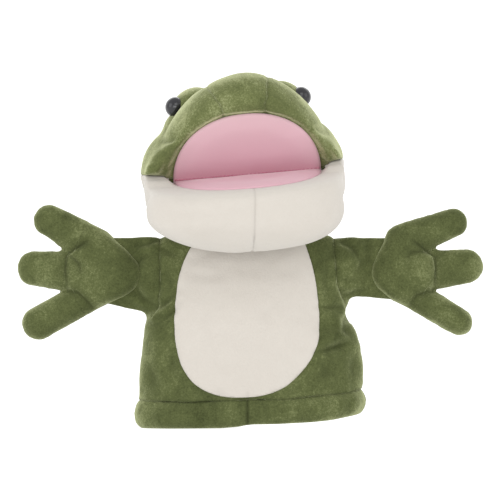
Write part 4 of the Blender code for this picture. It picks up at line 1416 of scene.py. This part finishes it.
def build_hem():
    count = 420
    # the band's section: in at the stitch line, a full round, in under the edge, and up inside
    section = [(21.9, -1.5), (21.0, -0.6), (19.6, 0.1), (17.5, 0.9), (14.5, 1.5), (11.0, 1.75), (7.5, 1.6), (4.5, 1.0), (2.2, 0.0),
               (0.9, -1.1), (0.15, -2.4), (0.0, -3.6), (0.35, -4.6), (2.0, -5.3), (6.0, -5.6), (12.0, -5.6), (18.0, -5.2), (21.5, -4.6), (22.2, -3.2)]
    rows = []
    base = []
    for z, off in section:
        zz = np.full(count, z)
        t = 2 * np.pi * np.arange(count) / count
        c, s = np.cos(t), np.sin(t)
        a = np.interp(z, LEVELS[:, 0], LEVELS[:, 1]) + off - 1.2
        f = np.interp(z, LEVELS[:, 0], LEVELS[:, 2]) + off - 1.2
        k = np.interp(z, LEVELS[:, 0], LEVELS[:, 3]) + off - 1.2
        b = np.where(s < 0, f, k)
        g = (np.abs(c / a) ** 2.3 + np.abs(s / b) ** 2.3) ** (1 / 2.3)
        rows.append(np.stack([c / g, BODY_Y + s / g, zz], 1))
    V = np.array(rows)
    n = len(section)
    flat = V.reshape(-1, 3)
    x, y, z = flat[:, 0], flat[:, 1], flat[:, 2]
    t = np.arctan2(y - BODY_Y, x)
    radial = np.stack([x, (y - BODY_Y) * 1.6, x * 0], 1)
    radial /= np.linalg.norm(radial, axis=1)[:, None]
    outer = np.array([1.0 if off > -3.0 else 0.25 for _, off in section]).repeat(count)
    band = step(z, 0.0, 4.0) * step(22.5 - z, 0.0, 4.0)
    d = outer * band * (0.75 * noise(flat * np.array([1, 1, 0.25]), 9, 30) + 0.4 * noise(flat, 5, 31))
    # pleats beside the front seam, and long soft waves
    for at, depth, width in ((7.5, 1.0, 1.8), (13.5, 1.1, 2.0), (19.5, 0.7, 2.0), (-40, 0.5, 6), (46, 0.5, 6)):
        d -= outer * band * np.where(y < BODY_Y, depth * np.exp(-((x - at - 0.12 * (z - 10)) / width) ** 2), 0)
    # seams across the band at the sides, the back and the front
    fr = y < BODY_Y
    for where, width in ((x + 2.2, 1.4),):
        d -= outer * band * np.where(fr, 1.6 * np.exp(-(where / width) ** 2) + 0.9 * np.exp(-(where / 6) ** 2), 0)
        d -= outer * band * np.where(~fr, 0.9 * np.exp(-(x / 1.4) ** 2), 0)
    d -= outer * band * 0.8 * np.exp(-((y - BODY_Y) / 1.5) ** 2)
    P = flat + radial * d[:, None]
    # the band lifts towards the puppet's left and waves a little off the table
    faces = []
    for i in range(n):
        i2 = (i + 1) % n
        for j in range(count):
            j2 = (j + 1) % count
            faces.append((i * count + j, i * count + j2, i2 * count + j2, i2 * count + j))
    return Cloth(P, [tuple(reversed(f)) for f in faces], flat)


def hem_lift(P):
    """How far the free edge is raised: it runs up towards the puppet's left."""
    x, y, z = P[:, 0], P[:, 1], P[:, 2]
    edge = np.interp(x, (-60, -22, -9, -3, 2, 20, 45.6, 58, 63.4, 78, 86, 92), (0, 0.5, 1.6, 2.8, 3.3, 3.6, 4.9, 6.1, 6.9, 9.8, 11.7, 12.4))
    stitch = np.interp(x, (-84, -75, -45, -27, 0, 27, 45, 74, 84), (0.2, -0.6, -1.4, -0.4, 0.7, 0.8, 2.9, 5.4, 8.4))
    t = np.clip(z / HEM_Z, 0, 1)
    low = step(70 - z, 0, 46)
    return (edge * (1 - t) + stitch * t) * low


hem = build_hem()
hem.V[:, 2] += hem_lift(hem.base)

def hem_shade(P):
    x, y, z = P[:, 0], P[:, 1], P[:, 2]
    s = np.exp(-((z - 21.8) / 1.1) ** 2) * 0.45
    s = np.maximum(s, np.where(y < BODY_Y, 0.8 * np.exp(-((x + 2.2) / 1.0) ** 2), np.exp(-(x / 1.2) ** 2) * 0.6))
    return np.maximum(s, 0.6 * np.exp(-((y - BODY_Y) / 1.3) ** 2))


hem_obj = piece("hem_cloth", hem, GREEN_SHADED, ("hem_band",), shade=hem_shade)
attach(hem_obj, "body")
for o in BODY_PIECES:
    co = np.array([tuple(v.co) for v in o.data.vertices]) * 1000.0
    co[:, 2] += hem_lift(co) * 1.0
    o.data.vertices.foreach_set("co", (co / 1000.0).ravel())
    o.data.update()

# the sleeve's lining, seen from below


def build_lining():
    levels = [(z, a, f, k) for z, a, f, k in LEVELS if z <= 134]
    zs = np.linspace(6, 132, 60)
    count = 220
    rows = []
    for z in zs:
        t = 2 * np.pi * np.arange(count) / count
        c, s = np.cos(t), np.sin(t)
        inset = 6.4 - 1.6 * step(np.array([z]), 20, 30)[0]
        a = np.interp(z, LEVELS[:, 0], LEVELS[:, 1]) - inset
        a = a - np.where(c > 0, 8.5 * math.exp(-((z - 83) / 12) ** 2), 0)
        f = np.interp(z, LEVELS[:, 0], LEVELS[:, 2]) - inset
        k = np.interp(z, LEVELS[:, 0], LEVELS[:, 3]) - inset
        b = np.where(s < 0, f, k)
        g = (np.abs(c / a) ** 2.3 + np.abs(s / b) ** 2.3) ** (1 / 2.3)
        rows.append(np.stack([c / g, BODY_Y + s / g, np.full(count, z)], 1))
    flat = np.array(rows).reshape(-1, 3)
    radial = flat - np.array([0, BODY_Y, 0])
    radial[:, 2] = 0
    radial /= np.linalg.norm(radial, axis=1)[:, None]
    d = -0.9 + 0.9 * noise(flat * np.array([1, 1, 0.3]), 14, 33)
    P = flat + radial * d[:, None]
    P[:, 2] += hem_lift(flat)
    faces = []
    for i in range(len(zs) - 1):
        for j in range(count):
            j2 = (j + 1) % count
            faces.append((i * count + j, i * count + j2, (i + 1) * count + j2, (i + 1) * count + j))
    return Cloth(P, faces, flat)


lin = build_lining()
o = piece("sleeve_lining_cloth", lin, INNER, ("sleeve_lining",), 0.8)
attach(o, "body")

# the neck: gathered cloth between the sleeve and the head


def build_neck():
    count, zs = 260, np.linspace(146.5, 163.0, 18)
    rows = []
    for z in zs:
        t = 2 * np.pi * np.arange(count) / count
        c, s = np.cos(t), np.sin(t)
        waist = -1.2 * math.exp(-((z - 154) / 3.5) ** 2)
        a, b = 44.0 + waist, 20.5 + waist
        g = (np.abs(c / a) ** 2.3 + np.abs(s / b) ** 2.3) ** (1 / 2.3)
        ripple = 1 + 0.012 * np.sin(t * 46 + 2 * np.sin(t * 5))
        rows.append(np.stack([c / g * ripple, BODY_Y + s / g * ripple, np.full(count, z)], 1))
    flat = np.array(rows).reshape(-1, 3)
    faces = []
    for i in range(len(zs) - 1):
        for j in range(count):
            j2 = (j + 1) % count
            faces.append((i * count + j, i * count + j2, (i + 1) * count + j2, (i + 1) * count + j))
    return Cloth(flat, faces, flat)


nk = piece("neck_cloth", build_neck(), GREEN_SHADED, ("neck_binding",), 1.6)
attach(nk, "neck")

# ------------------------------------------------------------------ the hands

HANDS = {
    1: dict(palm=(116.0, 121.0, 25.0, 25.4), fingers={
        "upper": ((126.2, 144.6), (152.6, 154.6), 11.3, 8.8),
        "middle": ((138, 119.2), (162.4, 121.7), 13.2, 11.0),
        "lower": ((127.5, 97.4), (156.9, 79.6), 9.0, 8.3)}),
    -1: dict(palm=(113.0, 119.0, 31.5, 25.6), fingers={
        "upper": ((127.3, 142.0), (151.6, 156.4), 12.3, 9.8),
        "middle": ((139, 118.2), (162.4, 120.1), 13.3, 11.5),
        "lower": ((128.8, 95.8), (159.6, 78.7), 10.2, 10.5)}),
}
HAND_Y = 23.0


def finger_field(P, side, spec, thick=10.0):
    (x0, z0), (x1, z1), r0, r1 = spec
    x, z, y = side * P[:, 0], P[:, 2], P[:, 1] - HAND_Y
    dx, dz = x1 - x0, z1 - z0
    length = math.hypot(dx, dz)
    ux, uz = dx / length, dz / length
    s = (x - x0) * ux + (z - z0) * uz
    t = np.clip(s / length, -0.45, 1)
    r = 2.2 + r0 + (r1 - r0) * np.clip(t, -0.2, 1)
    px, pz = x - x0 - t * dx, z - z0 - t * dz
    flat = np.hypot(px, pz) / r
    yy = y / (thick * r / r0)
    g = np.maximum((np.abs(flat) ** 2.1 + np.abs(yy) ** 2.1) ** (1 / 2.1), 0.02)
    return np.sqrt(px * px + pz * pz + y * y) * (1 - 1 / g), s


def palm_field(P, side):
    x, z, w, h = HANDS[side]["palm"]
    dx = side * P[:, 0] - x
    # the heel of the palm comes to a blunt point over the sleeve
    p = np.where(dx < 0, 1.62 if side < 0 else 1.85, 2.2)
    return superell(dx, P[:, 2] - z + 3.0 * step(-dx, 4, 30), P[:, 1] - HAND_Y, (w, h, 14.6), (w, h, 14.6), p, 3.4)


def hand_field(P, side):
    d = palm_field(P, side)
    f = None
    for spec in HANDS[side]["fingers"].values():
        e, _ = finger_field(P, side, spec)
        f = e if f is None else smin(f, e, 1.2)
    return smin(d, f, 5.0)


# stitched creases on the palms: (points in |x|, z), depth, width
CREASES = {
    1: (
        (((138.3, 132.2), (130, 136), (122.4, 141.3)), -1.8, 1.9),
        (((137, 132), (128, 133.5), (120.5, 132), (118.5, 128)), -1.3, 2.0),
        (((139.5, 130.5), (139.7, 120), (138.7, 107)), -1.6, 2.2),
        (((138.3, 103.5), (131.7, 102), (124.7, 99.5), (119.4, 91.5)), -1.7, 1.9),
    ),
    -1: (
        (((138.2, 132.2), (131, 136), (122.4, 141.3)), -1.8, 1.9),
        (((136, 130), (129, 124), (127.5, 117.5)), -1.2, 2.2),
        (((139, 131), (139.7, 118), (138.2, 106)), -1.6, 2.2),
        (((138.5, 103), (130.5, 102), (124.5, 97), (119.4, 91)), -1.7, 1.9),
    ),
}


def build_hand(side):
    names = list(HANDS[side]["fingers"])
    lo = (min(side * 82, side * 182), 4, 62)
    hi = (max(side * 82, side * 182), 42, 174)
    fn = lambda P: hand_field(P, side)
    V, Q, E = formed(fn, lo, hi, 1.3)
    N = normals(V, Q)
    ax, y, z = side * V[:, 0], V[:, 1], V[:, 2]
    d = 0.55 * noise(V, 15, 40 + side) + 0.25 * noise(V, 7, 42 + side)
    # the seam round the edge, between the front and the back
    f = y - HAND_Y
    d -= 0.75 * np.exp(-(f / 1.1) ** 2) + 0.3 * np.exp(-(f / 3.5) ** 2)
    d += 0.3 * np.exp(-(f / 5) ** 2) * noise(V, 3.2, 44)
    facing = step(np.abs(f), 2, 7)
    for pts, depth, width in CREASES[side]:
        dist, t = line_distance(ax, z, pts)
        fade = np.sin(np.pi * np.clip(0.22 + 0.62 * t, 0, 1)) ** 0.7
        d += facing * fade * depth * np.exp(-(dist / width) ** 2)
        d += facing * fade * depth * 0.4 * np.exp(-(dist / (3 * width)) ** 2)
    V2 = V + N * d[:, None]
    whole = Cloth(V2, Q, V)
    fields = {k: (lambda P, s=side, sp=HANDS[side]["fingers"][k]: finger_field(P, s, sp)) for k in names}
    rest = whole
    parts = {}
    for k in names:
        d_k, s_k = fields[k](rest.base)
        others = np.min([fields[o](rest.base)[0] for o in names if o != k], axis=0)
        region = np.minimum(s_k - 1.0, (others - d_k))
        rest, parts[k] = rest.split(region)
    w = "left" if side > 0 else "right"
    front, back = rest.split(rest.base[:, 1] - HAND_Y)
    out = []

    def hand_shade(P):
        ax, y, z = side * P[:, 0], P[:, 1] - HAND_Y, P[:, 2]
        s = 0.55 * np.exp(-(y / 1.1) ** 2)
        # painted shade in and round the stitched creases
        for pts, depth, width in CREASES[side]:
            dist, t = line_distance(ax, z, pts)
            fade = np.sin(np.pi * np.clip(0.22 + 0.62 * t, 0, 1)) ** 0.7
            s = np.maximum(s, fade * np.exp(-(dist / (0.62 * width)) ** 2))
            s = np.maximum(s, 0.35 * fade * np.exp(-(dist / (2.2 * width)) ** 2))
        return s

    for nm, cl, stands in (("palm_cloth_" + w, front, ("palm_panel_" + w, "palm_stuffing_" + w)), ("hand_back_cloth_" + w, back, ("hand_back_panel_" + w,))):
        o = piece(nm, cl, GREEN_SHADED, stands, 1.5, shade=hand_shade)
        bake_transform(o)
        out.append(o)
    for k in names:
        (x0, z0), (x1, z1), r0, r1 = HANDS[side]["fingers"][k]
        o = piece(f"finger_cloth_{k}_{w}", parts[k], GREEN_SHADED, (f"finger_{k}_{w}", f"finger_stuffing_{k}_{w}"), 1.4, shade=hand_shade)
        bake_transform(o)
        out.append(o)
    return out


print("hands")
for side in (1, -1):
    build_hand(side)

# ------------------------------------------------------------------ floor, light, camera

floor_mat, tree = nodes("pale_floor")
out = add(tree, "ShaderNodeOutputMaterial", (400, 0))
bsdf = add(tree, "ShaderNodeBsdfPrincipled", (0, 0))
tree.links.new(bsdf.outputs[0], out.inputs[0])
bsdf.inputs["Base Color"].default_value = (0.32, 0.32, 0.32, 1)
bsdf.inputs["Roughness"].default_value = 0.9
bsdf.inputs["Specular IOR Level"].default_value = 0.1
bsdf.inputs["Emission Color"].default_value = (1.0, 1.0, 1.0, 1)
bsdf.inputs["Emission Strength"].default_value = 0.95

# a floor that runs into a curved backdrop
rows = []
depth = [(-6.0, 0.0), (-1.0, 0.0), (1.2, 0.0)]
depth += [(1.2 + 0.8 * math.sin(t), 0.8 - 0.8 * math.cos(t)) for t in np.linspace(0.1, math.pi / 2, 14)]
depth += [(2.0, 3.5)]
verts, faces = [], []
for y, z in depth:
    verts += [(-4.0, y, z), (4.0, y, z)]
for i in range(len(depth) - 1):
    faces.append((2 * i, 2 * i + 1, 2 * i + 3, 2 * i + 2))
mesh = bpy.data.meshes.new("backdrop")
mesh.from_pydata(verts, [], faces)
mesh.polygons.foreach_set("use_smooth", [True] * len(mesh.polygons))
backdrop = bpy.data.objects.new("backdrop", mesh)
backdrop.data.materials.append(floor_mat)
bpy.context.collection.objects.link(backdrop)

world = bpy.data.worlds.new("studio")
bpy.context.scene.world = world
world.use_nodes = True
world.node_tree.nodes["Background"].inputs[0].default_value = (1.0, 1.0, 1.0, 1)
world.node_tree.nodes["Background"].inputs[1].default_value = 0.92


def area(name, at, target, size, power, colour=(1, 1, 1)):
    data = bpy.data.lights.new(name, "AREA")
    data.shape = "RECTANGLE"
    data.size, data.size_y = size
    data.energy = power
    data.color = colour
    obj = bpy.data.objects.new(name, data)
    obj.location = at
    d = Vector(target) - Vector(at)
    obj.rotation_euler = d.to_track_quat("-Z", "Y").to_euler()
    bpy.context.collection.objects.link(obj)
    return obj


area("key", (0.35, -2.4, 1.9), (0, 0, 0.15), (1.8, 1.4), 14.0)
area("front", (-0.4, -3.2, 0.55), (0, 0, 0.14), (2.4, 1.0), 25.0)
area("fill_left", (-1.7, -0.8, 0.8), (0, 0, 0.15), (1.2, 1.2), 6.5)
area("fill_right", (1.7, -0.8, 0.8), (0, 0, 0.15), (1.2, 1.2), 4.5)
area("back", (0, 1.2, 1.2), (0, 0, 0.2), (1.8, 0.6), 4.0)

cam_data = bpy.data.cameras.new("camera")
cam = bpy.data.objects.new("camera", cam_data)
bpy.context.collection.objects.link(cam)
bpy.context.scene.camera = cam
FAR = 8.0
centre = Vector((-0.000375, 0.0, 0.13395))
tilt = math.radians(0.0)
cam.location = centre + Vector((0, -FAR * math.cos(tilt), FAR * math.sin(tilt)))
cam.rotation_euler = (centre - cam.location).to_track_quat("-Z", "Y").to_euler()
cam_data.sensor_width = 36.0
cam_data.lens = 36.0 * FAR / 0.375
cam_data.clip_start = 0.1
cam_data.clip_end = 20

bpy.context.scene.view_settings.view_transform = "Standard"

bpy.context.view_layer.update()
